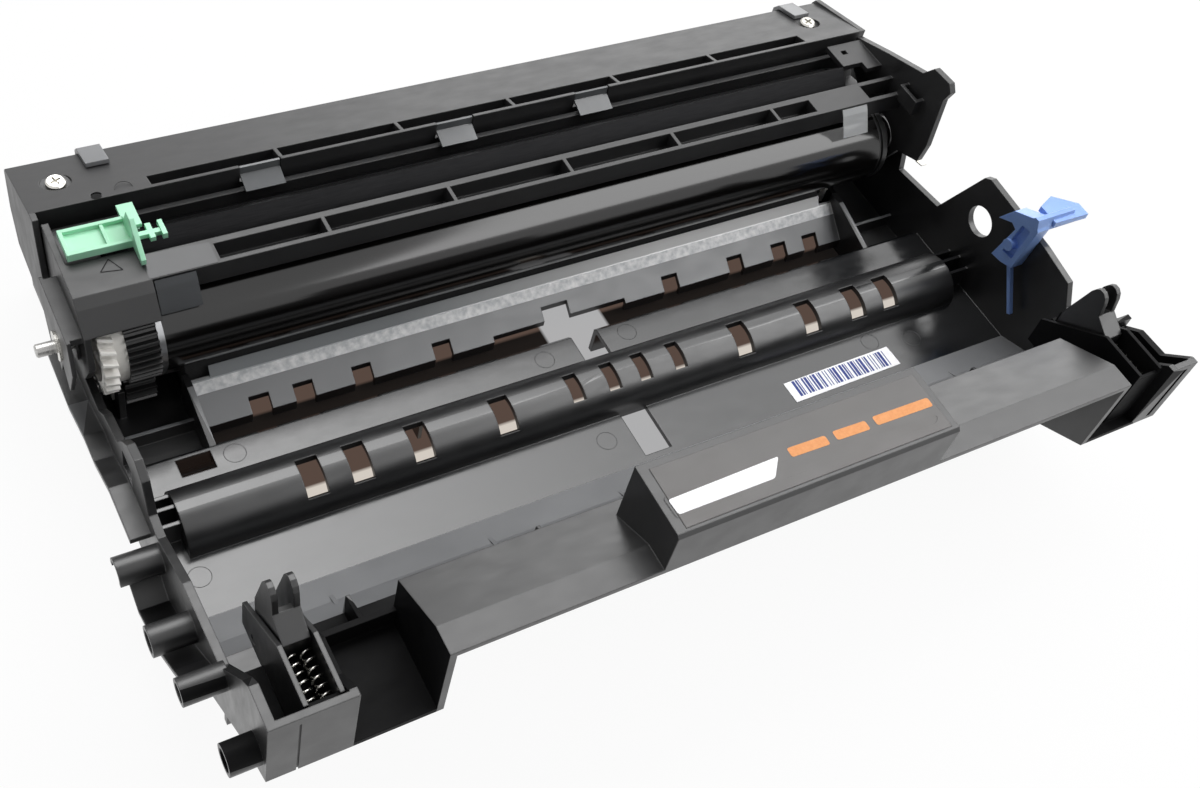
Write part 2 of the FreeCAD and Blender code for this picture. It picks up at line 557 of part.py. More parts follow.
def drum_gear():
    """Black helical gear that plugs into the drum and drives the transfer roller."""
    gear = helical_gear(GEAR_LEFT, TUBE_LEFT, DRUM_Y, DRUM_Z, GEAR_MODULE, DRUM_TEETH, 0.0, HELIX_TWIST)
    plug = rod(TUBE_LEFT, TUBE_LEFT + 7.0, DRUM_Y, DRUM_Z, DRUM_RADIUS - TUBE_WALL)
    hollow = rod(TUBE_LEFT + 1.0, TUBE_LEFT + 8.0, DRUM_Y, DRUM_Z, DRUM_RADIUS - TUBE_WALL - 2.0)
    hub = rod(TUBE_LEFT, TUBE_LEFT + 7.0, DRUM_Y, DRUM_Z, SHAFT_RADIUS + 2.2)
    return joined([gear, plug.cut(hollow), hub]).cut(shaft_bore(GEAR_LEFT - 1, TUBE_LEFT + 9))


def drive_gear():
    """White helical gear with its smooth hub, at the drum's outer end."""
    gear = helical_gear(DRIVE_LEFT, DRIVE_HUB_LEFT, DRUM_Y, DRUM_Z, DRIVE_MODULE, DRIVE_TEETH, 0.0,
                        -HELIX_TWIST)
    hub = rod(DRIVE_HUB_LEFT, GEAR_LEFT, DRUM_Y, DRUM_Z, HUB_RADIUS)
    recess = rod(DRIVE_LEFT - 1, DRIVE_LEFT + 2.0, DRUM_Y, DRUM_Z, HUB_RADIUS - 1.5)
    core = rod(DRIVE_LEFT, DRIVE_LEFT + 3.0, DRUM_Y, DRUM_Z, SHAFT_RADIUS + 2.2)
    return joined([joined([gear, hub]).cut(recess), core]).cut(shaft_bore(DRIVE_LEFT - 2, GEAR_LEFT + 1))


def drum_end_flange():
    """Plain flange that closes the drum at its contact end."""
    disc = rod(TUBE_RIGHT, FLANGE_RIGHT, DRUM_Y, DRUM_Z, DRUM_RADIUS)
    plug = rod(TUBE_RIGHT - 7.0, TUBE_RIGHT, DRUM_Y, DRUM_Z, DRUM_RADIUS - TUBE_WALL)
    hollow = rod(TUBE_RIGHT - 8.0, TUBE_RIGHT - 1.0, DRUM_Y, DRUM_Z, DRUM_RADIUS - TUBE_WALL - 2.0)
    hub = rod(TUBE_RIGHT - 7.0, TUBE_RIGHT, DRUM_Y, DRUM_Z, SHAFT_RADIUS + 2.2)
    boss = rod(FLANGE_RIGHT, FLANGE_RIGHT + 6.0, DRUM_Y, DRUM_Z, 8.0)
    groove = rod(FLANGE_RIGHT - 3.0, FLANGE_RIGHT - 2.0, DRUM_Y, DRUM_Z, DRUM_RADIUS + 1)
    groove = groove.cut(rod(FLANGE_RIGHT - 4.0, FLANGE_RIGHT - 1.0, DRUM_Y, DRUM_Z, DRUM_RADIUS - 0.8))
    flange = joined([disc, plug.cut(hollow), hub, boss]).cut(groove)
    return flange.cut(shaft_bore(TUBE_RIGHT - 9, FLANGE_RIGHT + 8))


def drum_shaft():
    shaft = rod(SHAFT_LEFT, SHAFT_RIGHT, DRUM_Y, DRUM_Z, SHAFT_RADIUS)
    ends = [edge for edge in shaft.Edges if edge.Length < 2 * math.pi * SHAFT_RADIUS + 0.01
            and abs(edge.BoundBox.XLength) < 0.01]
    shaft = shaft.makeChamfer(0.4, ends)
    groove = rod(CLIP_LEFT - RUNNING, CLIP_LEFT + CLIP_THICKNESS + RUNNING, DRUM_Y, DRUM_Z, SHAFT_RADIUS + 1)
    groove = groove.cut(rod(CLIP_LEFT - 1, CLIP_LEFT + 2, DRUM_Y, DRUM_Z, SHAFT_RADIUS - CLIP_GROOVE))
    return shaft.cut(groove)


def bush(x0, x1, flange_x0, flange_x1):
    """Flanged bush that holds the drum shaft in a plate."""
    sleeve = rod(x0, x1, DRUM_Y, DRUM_Z, SHAFT_RADIUS + 2)
    flange = rod(flange_x0, flange_x1, DRUM_Y, DRUM_Z, SHAFT_RADIUS + 3.4)
    bush_body = sleeve.fuse(flange)
    return bush_body.cut(rod(x0 - 9, x1 + 9, DRUM_Y, DRUM_Z, SHAFT_RADIUS)).removeSplitter()


def shaft_clip():
    """Spring clip in the shaft's groove, outside the left ear."""
    disc = rod(CLIP_LEFT, CLIP_LEFT + CLIP_THICKNESS, DRUM_Y, DRUM_Z, SHAFT_RADIUS + 2.6)
    disc = disc.cut(rod(CLIP_LEFT - 1, CLIP_LEFT + 2, DRUM_Y, DRUM_Z, SHAFT_RADIUS - CLIP_GROOVE))
    return disc.cut(box(CLIP_LEFT - 1, CLIP_LEFT + 2, DRUM_Y - 1.4, DRUM_Y + 1.4, DRUM_Z - 9, DRUM_Z))


def roller_shaft():
    return rod(ROLLER_SHAFT_LEFT, ROLLER_SHAFT_RIGHT, ROLLER_Y, ROLLER_Z, ROLLER_SHAFT_RADIUS)


def roller_sleeve():
    """Soft foam sleeve of the transfer roller."""
    sleeve = rod(ROLLER_LEFT, ROLLER_RIGHT, ROLLER_Y, ROLLER_Z, ROLLER_RADIUS)
    return sleeve.cut(rod(ROLLER_LEFT - 1, ROLLER_RIGHT + 1, ROLLER_Y, ROLLER_Z, ROLLER_SHAFT_RADIUS))


def roller_gear():
    gear = helical_gear(GEAR_LEFT, TUBE_LEFT, ROLLER_Y, ROLLER_Z, GEAR_MODULE, ROLLER_TEETH, 90.0,
                        -HELIX_TWIST * DRUM_TEETH / ROLLER_TEETH)
    return gear.cut(rod(GEAR_LEFT - 1, TUBE_LEFT + 1, ROLLER_Y, ROLLER_Z, ROLLER_SHAFT_RADIUS))


def roller_bearing(x0, x1):
    """Plastic block that carries one end of the roller and slides in its post."""
    block = box(x0, x1, ROLLER_Y - 3.2, ROLLER_Y + 3.2, ROLLER_Z - 3.4, ROLLER_Z + 3.4)
    lug = box(x0 - 0.8, x0, ROLLER_Y - 4.6, ROLLER_Y + 4.6, ROLLER_Z - 3.4, ROLLER_Z + 3.4)
    return block.fuse(lug).cut(rod(x0 - 3, x1 + 3, ROLLER_Y, ROLLER_Z,
                                   ROLLER_SHAFT_RADIUS + RUNNING)).removeSplitter()


def housing_rail():
    """Front rail over the drum, with its row of moulded pockets."""
    rail = box(-140.0, 122.0, RAIL_FRONT, RAIL_BACK, RAIL_BOTTOM, RAIL_TOP)
    pockets = []
    ribs = [RAIL_FIRST_RIB + i * RAIL_PITCH for i in range(5)]
    edges = [RAIL_POCKET_LEFT] + ribs + [RAIL_POCKET_RIGHT]
    for a, b in zip(edges[:-1], edges[1:]):
        pockets.append(box(a + RIB / 2, b - RIB / 2, RAIL_POCKET_FRONT, RAIL_POCKET_BACK,
                           RAIL_TOP - RAIL_POCKET_DEPTH, RAIL_TOP + 1))
    return rail.cut(pockets)


def housing():
    """Upper moulding over the drum: front rail, both cheeks and the end plates of the charger."""
    left_cap = prism_x([(31.3, 50.6), (36.3, 57.4), (RAIL_FRONT, RAIL_TOP), (RAIL_BACK + 2.6, RAIL_TOP),
                        (RAIL_BACK + 2.6, 54.4), over_drum(-11, 4.4), over_drum(-21, 3.9), over_drum(-38, 2.7)],
                       -158.6, -137.6)
    left_cheek = prism_x([(31.3, 50.6), (36.3, 57.4), (RAIL_FRONT, RAIL_TOP),
                          (68.0, RAIL_TOP), (71.0, 52.0), (71.0, 46.0), (60.0, 31.0), (52.0, 31.0),
                          (50.0, 26.0), (37.0, 26.0), (30.0, 38.0)],
                         HOUSING_LEFT, HOUSING_LEFT + 2.0)
    left_ear = prism_x([(32.0, 50.0), (30.0, 38.0), (36.0, 24.0), (41.0, 31.0), (44.0, 24.0), (50.0, 34.0),
                        (54.0, 26.0), (60.0, 40.0), (58.0, 50.0)], HOUSING_LEFT - 4.6, HOUSING_LEFT - 3.4)
    spacer = prism_x([(33.0, 50.0), (33.0, 47.6), (57.0, 47.6), (57.0, 50.0)],
                     HOUSING_LEFT - 4.6, HOUSING_LEFT + 1)
    right_cheek = prism_x([(54.0, RAIL_TOP + 6.0), (35.7, 72.0), (31.9, 77.1), (23.3, 77.6), (21.1, 74.9),
                           (22.6, 70.5), (20.2, 50.7), (21.0, 42.6), (31.2, 38.6), (37.0, 27.0), (50.0, 27.0),
                           (60.0, 44.3), (71.0, 52.0), (70.6, RAIL_TOP)],
                          HOUSING_RIGHT - 2.4, HOUSING_RIGHT)
    flange = box(121.0, HOUSING_RIGHT - 1, RAIL_FRONT, RAIL_FRONT + 1.6, 53.0, RAIL_TOP)
    corner = box(HOUSING_RIGHT - 6.0, HOUSING_RIGHT - 1, 30.0, RAIL_FRONT + 1.0, 58.0, RAIL_TOP + 4.0)
    corner = corner.cut(box(HOUSING_RIGHT - 4.6, HOUSING_RIGHT - 2.4, 31.4, RAIL_FRONT, 57.0, RAIL_TOP + 5))
    rear_flange = box(121.0, HOUSING_RIGHT - 1, RAIL_BACK - 1.6, RAIL_BACK, 54.0, RAIL_TOP)
    mid_plate = box(122.4, HOUSING_RIGHT - 1, 54.4, 69.0, RAIL_TOP - WALL, RAIL_TOP)
    mid_plate = mid_plate.cut(box(122.0, 131.0, 54.0, 58.0, RAIL_TOP - 9, RAIL_TOP + 1))
    mid_plate = mid_plate.cut(box(126.0, 128.4, 63.5, 65.5, RAIL_TOP - 9, RAIL_TOP + 1))
    left_top = box(HOUSING_LEFT + 1, SHIELD_LEFT - 1, RAIL_BACK, 69.0, 54.0, 55.6)
    pieces = [housing_rail(), left_cap, left_cheek, left_ear, spacer, right_cheek, flange, corner, rear_flange,
              mid_plate, left_top]
    pieces.append(charger_bar(SHIELD_LEFT - 3, SHIELD_RIGHT + 3, GRID_DISTANCE + 1.0, 26.0,
                              SHIELD_WIDTH / 2 + MATE, SHIELD_WIDTH / 2 + MATE + SHEET))
    pieces.append(box(HOUSING_LEFT + 1, HOUSING_RIGHT - 1, 70.0 - SHEET, 70.0, 45.0, 55.0))
    pieces.append(folded([(69.0, 48.0), (67.0, 44.0), charger_point(GRID_DISTANCE + 1.0, SHIELD_WIDTH / 2 + MATE)],
                         -SHEET, HOUSING_LEFT + 1, HOUSING_RIGHT - 1))
    body = joined(pieces)
    body = body.cut(rod(HOUSING_LEFT - 9, HOUSING_LEFT - 1, DRUM_Y, DRUM_Z, SHAFT_RADIUS + MATE))
    body = body.cut(rod(HOUSING_LEFT - 1, HOUSING_LEFT + 9, DRUM_Y, DRUM_Z, SHAFT_RADIUS + 2))
    return body.cut(rod(HOUSING_RIGHT - 9, HOUSING_RIGHT + 9, DRUM_Y, DRUM_Z, 9.0))


def rear_cover():
    """Rear cover with its row of pockets, its two screw recesses and the left cheek."""
    top = [(COVER_FRONT, cover_z(COVER_FRONT)), (COVER_REAR, COVER_REAR_Z), (COVER_REAR + 1.4, COVER_REAR_Z - 2)]
    shell = folded([(COVER_FRONT, 46.5)] + top + [(COVER_REAR + 1.4, 36.0)], WALL, COVER_LEFT, COVER_RIGHT)
    left_cheek = prism_x([(68.5, 61.5), (COVER_FRONT, cover_z(COVER_FRONT)), (COVER_REAR, COVER_REAR_Z),
                          (COVER_REAR + 1.4, COVER_REAR_Z - 2), (COVER_REAR + 1.4, 36.0), (96.0, 24.0),
                          (72.0, 20.0), (66.0, 40.0)], COVER_LEFT, COVER_LEFT + 1.8)
    right_end = prism_x([(COVER_FRONT, cover_z(COVER_FRONT)), (COVER_REAR, COVER_REAR_Z + 1.2),
                         (COVER_REAR + 1.4, COVER_REAR_Z - 1), (COVER_REAR + 1.4, 40.0), (90.0, 34.0),
                         (COVER_FRONT, 46.5)], COVER_RIGHT - WALL, COVER_RIGHT)
    pieces = [shell, left_cheek, right_end]
    trays_deep = 8.0
    ribs = [COVER_FIRST_RIB + i * COVER_PITCH for i in range(7)]
    for a, b in zip(ribs[:-1], ribs[1:]):
        pieces.append(box(a, b, COVER_POCKET_BACK, COVER_POCKET_BACK + RIB, cover_z(COVER_POCKET_BACK) - trays_deep,
                          cover_z(COVER_POCKET_BACK) - 0.5))
    pieces.append(box(ribs[0], ribs[-1], COVER_FRONT + 1, COVER_POCKET_BACK + RIB,
                      COVER_FRONT_Z - 10.5, COVER_FRONT_Z - 9.3))
    for x in (SCREW_LEFT_X, SCREW_RIGHT_X):
        pieces.append(upright(x, SCREW_Y, 36.0, cover_z(SCREW_Y) - WALL + 0.2, 3.6))
    cover = joined(pieces)
    cutters = []
    for a, b in zip(ribs[:-1], ribs[1:]):
        cutters.append(box(a + RIB / 2, b - RIB / 2, COVER_POCKET_FRONT, COVER_POCKET_BACK,
                           COVER_FRONT_Z - 9.3, COVER_FRONT_Z + 1))
    for x in (SCREW_LEFT_X, SCREW_RIGHT_X):
        cutters.append(upright(x, SCREW_Y, cover_z(SCREW_Y) - 1.0, cover_z(SCREW_Y) + 3, SCREW_HEAD_RADIUS + 1.6))
        cutters.append(upright(x, SCREW_Y, 35.0, cover_z(SCREW_Y) + 1, 1.6))
    cutters.append(upright(-142.2, 73.9, 50.0, 64.0, 1.5))
    for middle in (-93.5, -28.0, 23.4):
        cutters.append(box(middle - 6.6, middle + 6.6, COVER_FRONT - 1, COVER_FRONT + 1.4, 55.5, 64.0))
    return cover.cut(cutters)


def strap(x0, x1):
    """Latch strap that folds over the rear cover's back edge."""
    rear = COVER_REAR + 1.4
    return folded([(rear + MATE, 42.0), (rear + MATE, COVER_REAR_Z - 1.6), (COVER_REAR + 0.1, COVER_REAR_Z + MATE),
                   (89.5, cover_z(89.5) + MATE)][::-1], -1.4, x0, x1)


def cover_screws():
    """Two cross-headed screws that hold the rear cover."""
    heads = []
    for x in (SCREW_LEFT_X, SCREW_RIGHT_X):
        seat = cover_z(SCREW_Y) - 1.0
        head = upright(x, SCREW_Y, seat, seat + 1.7, SCREW_HEAD_RADIUS)
        rim = [e for e in head.Edges if abs(e.BoundBox.ZMin - seat - 1.7) < 0.01 and e.BoundBox.ZLength < 0.01]
        head = head.makeChamfer(0.5, rim)
        shank = upright(x, SCREW_Y, seat - 14.0, seat, 1.4)
        screw = head.fuse(shank)
        for turn in (0, 90):
            slot = Part.makeBox(3.4, 0.7, 1.2, V(x - 1.7, SCREW_Y - 0.35, seat + 0.7))
            slot.rotate(V(x, SCREW_Y, 0), V(0, 0, 1), turn + 20)
            screw = screw.cut(slot)
        heads.append(screw)
    return Part.makeCompound(heads)


def window_clips():
    """Three clear holders in the notches of the rear cover's front edge."""
    clips = []
    for middle in (-93.5, -28.0, 23.4):
        clips.append(folded([(COVER_FRONT - 5.0, 56.2), (COVER_FRONT + 0.4, 58.4), (COVER_FRONT + 0.4, 61.0)],
                            0.8, middle - 6.3, middle + 6.3))
    return Part.makeCompound(clips)


def charger_shield():
    """Metal channel around the corona wire, open towards the drum."""
    half = SHIELD_WIDTH / 2
    far = GRID_DISTANCE + SHIELD_DEPTH
    sides = [charger_bar(SHIELD_LEFT, SHIELD_RIGHT, GRID_DISTANCE + 0.6, far, -half, -half + SHIELD_WALL),
             charger_bar(SHIELD_LEFT, SHIELD_RIGHT, GRID_DISTANCE + 0.6, far, half - SHIELD_WALL, half),
             charger_bar(SHIELD_LEFT, SHIELD_RIGHT, far - SHIELD_WALL, far, -half, -1.6),
             charger_bar(SHIELD_LEFT, SHIELD_RIGHT, far - SHIELD_WALL, far, 1.6, half)]
    return joined([joined([sides[0], sides[2]]), joined([sides[1], sides[3]]),
                   charger_bar(SHIELD_LEFT, SHIELD_LEFT + 2.0, far - SHIELD_WALL, far, -half, half),
                   charger_bar(SHIELD_RIGHT - 2.0, SHIELD_RIGHT, far - SHIELD_WALL, far, -half, half)])


def charger_grid():
    """Thin metal screen between the corona wire and the drum, with its long slots."""
    half = SHIELD_WIDTH / 2 - SHIELD_WALL - 0.2
    plate = charger_bar(SHIELD_LEFT + 1, SHIELD_RIGHT - 1, GRID_DISTANCE, GRID_DISTANCE + 0.3, -half, half)
    slots = []
    bars = 7
    length = (SHIELD_RIGHT - SHIELD_LEFT - 16.0) / bars
    for i in range(bars):
        x0 = SHIELD_LEFT + 8.0 + i * length
        for across in (-3.6, -1.2, 1.2, 3.6):
            slots.append(charger_bar(x0 + 1.0, x0 + length - 1.0, GRID_DISTANCE - 1, GRID_DISTANCE + 1,
                                     across - 0.8, across + 0.8))
    return plate.cut(slots)


def wire_anchor(x0, x1):
    """Insulating block at one end of the charger that carries the wire, the grid and the shield."""
    half = SHIELD_WIDTH / 2 - SHIELD_WALL
    return charger_bar(x0, x1, GRID_DISTANCE + 0.4, GRID_DISTANCE + SHIELD_DEPTH - SHIELD_WALL, -half, half)


def corona_wire():
    y, z = charger_point(WIRE_DISTANCE, 0.0)
    return rod(SHIELD_LEFT + 7.0, SHIELD_RIGHT - 7.0, y, z, WIRE_RADIUS)


def wire_cleaner():
    """Green slider that is pushed along the charger to wipe its wire."""
    base = box(-157.0, -137.6, 51.4, 61.4, 60.8, 62.0)
    rims = [box(-157.0, -137.6, 51.4, 52.6, 62.0, 63.4), box(-157.0, -137.6, 60.2, 61.4, 62.0, 63.4),
            box(-157.0, -155.8, 51.4, 61.4, 62.0, 63.4), box(-145.6, -144.6, 52.4, 60.4, 62.0, 63.2)]
    fin = prism_x([(44.0, 60.8), (61.4, 60.8), (61.4, 63.4), (59.0, 65.0), (56.5, 70.0), (53.5, 70.0), (44.0, 62.6)],
                  -138.8, -137.4)
    bracket = [box(-137.4, -129.0, 53.4, 55.0, 60.8, 62.4), box(-133.6, -132.0, 51.8, 57.6, 60.8, 62.4),
               box(-130.0, -128.6, 51.8, 57.6, 60.8, 62.8)]
    far = GRID_DISTANCE + SHIELD_DEPTH
    neck = charger_bar(-138.0, -134.0, far - 4.0, far + 6.4, -1.3, 1.3)
    foot = charger_bar(-138.0, -134.0, far - 4.5, far - 3.0, -3.0, 3.0)
    bridge = box(-138.8, -134.0, 58.0, 67.0, 60.8, 62.2)
    return joined([base] + rims + [fin, bridge, neck, foot] + bracket)


def release_lever():
    """Blue thumb lever on the right plate, with its own spring tail."""
    x0 = BAY_RIGHT - 5.6
    x1 = BAY_RIGHT - MATE
    body = prism_x([(-20.6, 54.6), (-22.8, 58.6), (-24.8, 61.9), (-33.6, 66.6), (-36.6, 63.0), (-35.0, 43.6),
                    (-30.0, 41.8), (-25.4, 41.2), (-26.6, 47.0), (-28.6, 56.6), (-26.2, 57.6)], x0, x1)
    body = body.cut(prism_x([(-28.6, 46.0), (-33.2, 46.4), (-34.2, 60.6), (-30.2, 60.2)], x0 - 1, x0 + 2.2))
    tab = prism_x([(-28.6, 61.0), (-33.0, 66.8), (-34.6, 66.8), (-36.4, 62.6)], x0, RIGHT_FACE + 9.0)
    paddle = prism_z([(RIGHT_FACE - 1.0, -28.4), (RIGHT_FACE + 6.0, -25.6), (RIGHT_FACE + 14.0, -31.8),
                      (RIGHT_FACE + 14.0, -37.0), (RIGHT_FACE - 1.0, -36.6)], 63.4, 65.6)
    tail = prism_x([(-31.4, 43.0), (-33.4, 43.0), (-43.6, 27.6), (-42.4, 26.8)], x0 + 1.4, x0 + 3.0)
    pin = rod(x0 - 0.8, RIGHT_FACE + 1.2, RELEASE_Y, RELEASE_Z, RELEASE_PIN_RADIUS)
    return joined([body, tab, paddle, tail, pin])


def press_lever(x):
    """Forked lever that presses the toner cartridge back, on its own pin."""
    half = LEVER_WIDTH / 2
    side = [(-67.0, 42.4), (-73.0, 42.4), (-78.0, 50.0), (SPRING_BACK + 0.4, 56.0), (SPRING_BACK + 0.4, 66.0),
            (-77.2, 69.5), (-76.2, 74.8), (-75.4, 76.6), (-74.0, 77.6), (-72.4, 77.6), (-71.2, 76.6),
            (-70.2, 74.8), (-66.0, 60.0)]
    plates = [prism_x(side, x - half, x - half + 1.6), prism_x(side, x + half - 1.6, x + half)]
    web = prism_x([(SPRING_BACK + 0.4, 56.0), (SPRING_BACK + 0.4, 66.0), (-77.0, 70.0), (-75.0, 69.0),
                   (-80.6, 64.6), (-80.6, 56.6)], x - half, x + half)
    hub = rod(x - half, x + half, LEVER_PIVOT_Y, LEVER_PIVOT_Z, LEVER_PIN_RADIUS + 1.6)
    pin = rod(x - half - 1.4, x + half + 1.4, LEVER_PIVOT_Y, LEVER_PIVOT_Z, LEVER_PIN_RADIUS)
    return joined(plates + [web, hub, pin])


def lever_springs(x):
    """The pair of compression springs behind one press lever."""
    pair = []
    for side in (-1, 1):
        pair.append(coil(x + side * 1.9, SPRING_FRONT, SPRING_BACK, SPRING_Z, SPRING_RADIUS, SPRING_WIRE,
                         SPRING_TURNS))
    return Part.makeCompound(pair)


def lip_point(y, lift):
    """A place over the lip's slope at y, raised square to it by lift."""
    slope = (LIP_END_Z - LIP_Z) / (LIP_END_Y - LIP_Y)
    run = math.hypot(1.0, slope)
    return (y - lift * slope / run, LIP_Z + slope * (y - LIP_Y) + lift / run)


def guide_film():
    """Clear film along the upper part of the lip, bent up towards the drum, with stepped ends."""
    film = folded([lip_point(FILM_LOW_Y, 0.0), lip_point(FILM_FOLD_Y, 0.0), (FILM_TOP_Y, FILM_TOP_Z)],
                  -0.2, GUIDE_LEFT + 0.8, GUIDE_RIGHT)
    above = lip_point(FILM_FOLD_Y, 0.3)[1]
    steps = [box(GUIDE_LEFT, GUIDE_LEFT + 0.8 + FILM_STEP, LIP_Y, DRUM_Y, above, 22.0),
             box(GUIDE_RIGHT - FILM_STEP, GUIDE_RIGHT + 1, LIP_Y, DRUM_Y, above, 22.0)]
    return film.cut(steps)


def adhesive_tape():
    """Adhesive strip that holds the film along its lower edge."""
    return folded([lip_point(FILM_LOW_Y, 0.2), lip_point(FILM_FOLD_Y - 0.3, 0.2)], -0.15,
                  GUIDE_LEFT + 0.8, GUIDE_RIGHT - 1.0)


def film_flap(x0, x1, drop):
    """Small film flap that hangs from the rail and leans away from the drum's end."""
    top = RAIL_FRONT - 0.3
    return folded([(top, RAIL_TOP - 0.6), (top - 1.6, RAIL_TOP - 2.4), (top - 5.6, RAIL_TOP - drop)], -0.3, x0, x1)


def contact_spring():
    """Bent metal contact at the right cheek that grounds the drum shaft."""
    return folded([(20.0, 40.6), (23.0, 40.0), (24.6, 44.0), (22.4, 47.0), (24.0, 58.0)], 0.4,
                  HOUSING_RIGHT + MATE, HOUSING_RIGHT + 2.6)


def cleaning_brush():
    """Brush bar that sweeps dust off the back of the drum."""
    holder = box(-134.0, 118.0, 62.8, 66.0, 24.0, 40.0)
    bristles = box(-130.0, 114.0, DRUM_Y + DRUM_RADIUS + 0.5, 62.8, 31.0, 36.0)
    return holder, bristles


def front_label():
    """Printed label in the recess of the block's top."""
    return box(BLOCK_LEFT + 3.0, BLOCK_RIGHT - 2.0, FRONT_FACE + 1.8, BLOCK_BACK - 2.0, BLOCK_TOP, BLOCK_TOP + 0.15)


def serial_label():
    return prism_z([(51.8, -32.9), (97.5, -32.2), (97.9, -40.4), (52.0, -41.2)], FLOOR_TOP, FLOOR_TOP + 0.15)


brush_holder, brush_bristles = cleaning_brush()
NODES = {
    "main_frame": main_frame(),
    "drum_housing": housing(),
    "rear_cover": rear_cover(),
    "cover_strap_left": strap(-140.6, -133.6),
    "cover_strap_right": strap(122.4, 129.0),
    "cover_screws": cover_screws(),
    "window_clips": window_clips(),
    "drum_tube": drum_tube(),
    "drum_gear": drum_gear(),
    "drive_gear": drive_gear(),
    "drum_end_flange": drum_end_flange(),
    "drum_shaft": drum_shaft(),
    "shaft_bush_left": bush(HOUSING_LEFT, HOUSING_LEFT + 2.0, HOUSING_LEFT - 0.8, HOUSING_LEFT),
    "shaft_bush_right": bush(BAY_RIGHT - 4.0, RIGHT_FACE, RIGHT_FACE, RIGHT_FACE + 0.8),
    "shaft_clip": shaft_clip(),
    "transfer_roller_shaft": roller_shaft(),
    "transfer_roller_sleeve": roller_sleeve(),
    "transfer_roller_gear": roller_gear(),
    "roller_bearing_left": roller_bearing(-151.2, -148.8),
    "roller_bearing_right": roller_bearing(119.4, 121.8),
    "charger_shield": charger_shield(),
    "charger_grid": charger_grid(),
    "wire_anchor_left": wire_anchor(SHIELD_LEFT + 0.5, SHIELD_LEFT + 7.0),
    "wire_anchor_right": wire_anchor(SHIELD_RIGHT - 7.0, SHIELD_RIGHT - 0.5),
    "corona_wire": corona_wire(),
    "wire_cleaner": wire_cleaner(),
    "release_lever": release_lever(),
    "press_lever_left": press_lever(LEVER_LEFT_X),
    "press_lever_right": press_lever(LEVER_RIGHT_X),
    "lever_springs_left": lever_springs(LEVER_LEFT_X),
    "lever_springs_right": lever_springs(LEVER_RIGHT_X),
    "guide_film": guide_film(),
    "adhesive_tape": adhesive_tape(),
    "film_flap_left": film_flap(-137.2, -125.2, 9.2),
    "film_flap_right": film_flap(108.6, 119.6, 9.0),
    "contact_spring": contact_spring(),
    "brush_holder": brush_holder,
    "brush_bristles": brush_bristles,
    "front_label": front_label(),
    "serial_label": serial_label(),
}

# The origin goes to the middle of the base.
whole = Part.makeCompound(list(NODES.values())).BoundBox
middle = V(-(whole.XMin + whole.XMax) / 2, -(whole.YMin + whole.YMax) / 2, -whole.ZMin)
print("moved by", middle)

os.makedirs("parts", exist_ok=True)
for name, shape in NODES.items():
    shape.translate(middle)
    shape.exportStep("parts/" + name + ".step")
    print(name, len(shape.Solids), round(shape.Volume, 1), shape.isValid())
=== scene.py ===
# %% [markdown]
# # Printer drum unit
# The CAD frame gives every solid its shape and place. This lesson gives each
# of them the finish of the real piece, adds the fine detail that a moulding
# carries on its surface, and lights the unit for a catalogue picture.

import math

import bmesh
import bpy
from mathutils import Matrix, Vector


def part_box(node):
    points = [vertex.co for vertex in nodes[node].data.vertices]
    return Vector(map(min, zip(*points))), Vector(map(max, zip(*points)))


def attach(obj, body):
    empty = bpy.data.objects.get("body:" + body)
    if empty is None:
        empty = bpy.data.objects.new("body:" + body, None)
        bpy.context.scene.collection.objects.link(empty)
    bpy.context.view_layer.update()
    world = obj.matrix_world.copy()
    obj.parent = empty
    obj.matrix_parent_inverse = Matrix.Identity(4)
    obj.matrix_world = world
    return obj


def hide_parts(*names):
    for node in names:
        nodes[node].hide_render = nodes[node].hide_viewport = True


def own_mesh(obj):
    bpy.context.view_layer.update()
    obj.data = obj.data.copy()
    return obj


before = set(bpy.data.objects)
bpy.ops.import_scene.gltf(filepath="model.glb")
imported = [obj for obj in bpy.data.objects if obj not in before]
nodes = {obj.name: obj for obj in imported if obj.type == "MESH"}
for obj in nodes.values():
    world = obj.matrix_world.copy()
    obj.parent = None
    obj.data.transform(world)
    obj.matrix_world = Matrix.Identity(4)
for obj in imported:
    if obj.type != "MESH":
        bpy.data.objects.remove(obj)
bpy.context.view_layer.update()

# %% [markdown]
# ## Places on the unit
# The unit was measured from the middle of its frame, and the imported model
# stands a little off that. One helper turns those measures, in millimetres,
# into metres of the frame, so every later number can be read off a drawing.

# %% Places
OFFSET = Vector((5.8, 1.05, 0.0))


def place(x, y, z):
    """A point of the unit, given in millimetres, as a place in the scene."""
    return (Vector((x, y, z)) + OFFSET) / 1000


print("unit corner", place(-159.2, -104, 0))

# %% [markdown]
# ## Colours and shader nodes
# Colours are read as sRGB hex values, while a shader wants linear light. One
# function converts them, and one adds a shader node and sets its sockets,
# which keeps each material below down to the lines that matter.

# %% Material helpers


def linear(code):
    """Linear RGBA of an sRGB hex colour such as 7FA3E6."""
    parts = [int(code[i:i + 2], 16) / 255 for i in (0, 2, 4)]
    return [c / 12.92 if c <= 0.04045 else ((c + 0.055) / 1.055) ** 2.4 for c in parts] + [1.0]


def add(tree, kind, sockets=None, **settings):
    """Adds a shader node. A socket takes a value, or another node's output."""
    made = tree.nodes.new(kind)
    for key, value in settings.items():
        setattr(made, key, value)
    for key, value in (sockets or {}).items():
        if isinstance(value, bpy.types.NodeSocket):
            tree.links.new(value, made.inputs[key])
        else:
            made.inputs[key].default_value = value
    return made


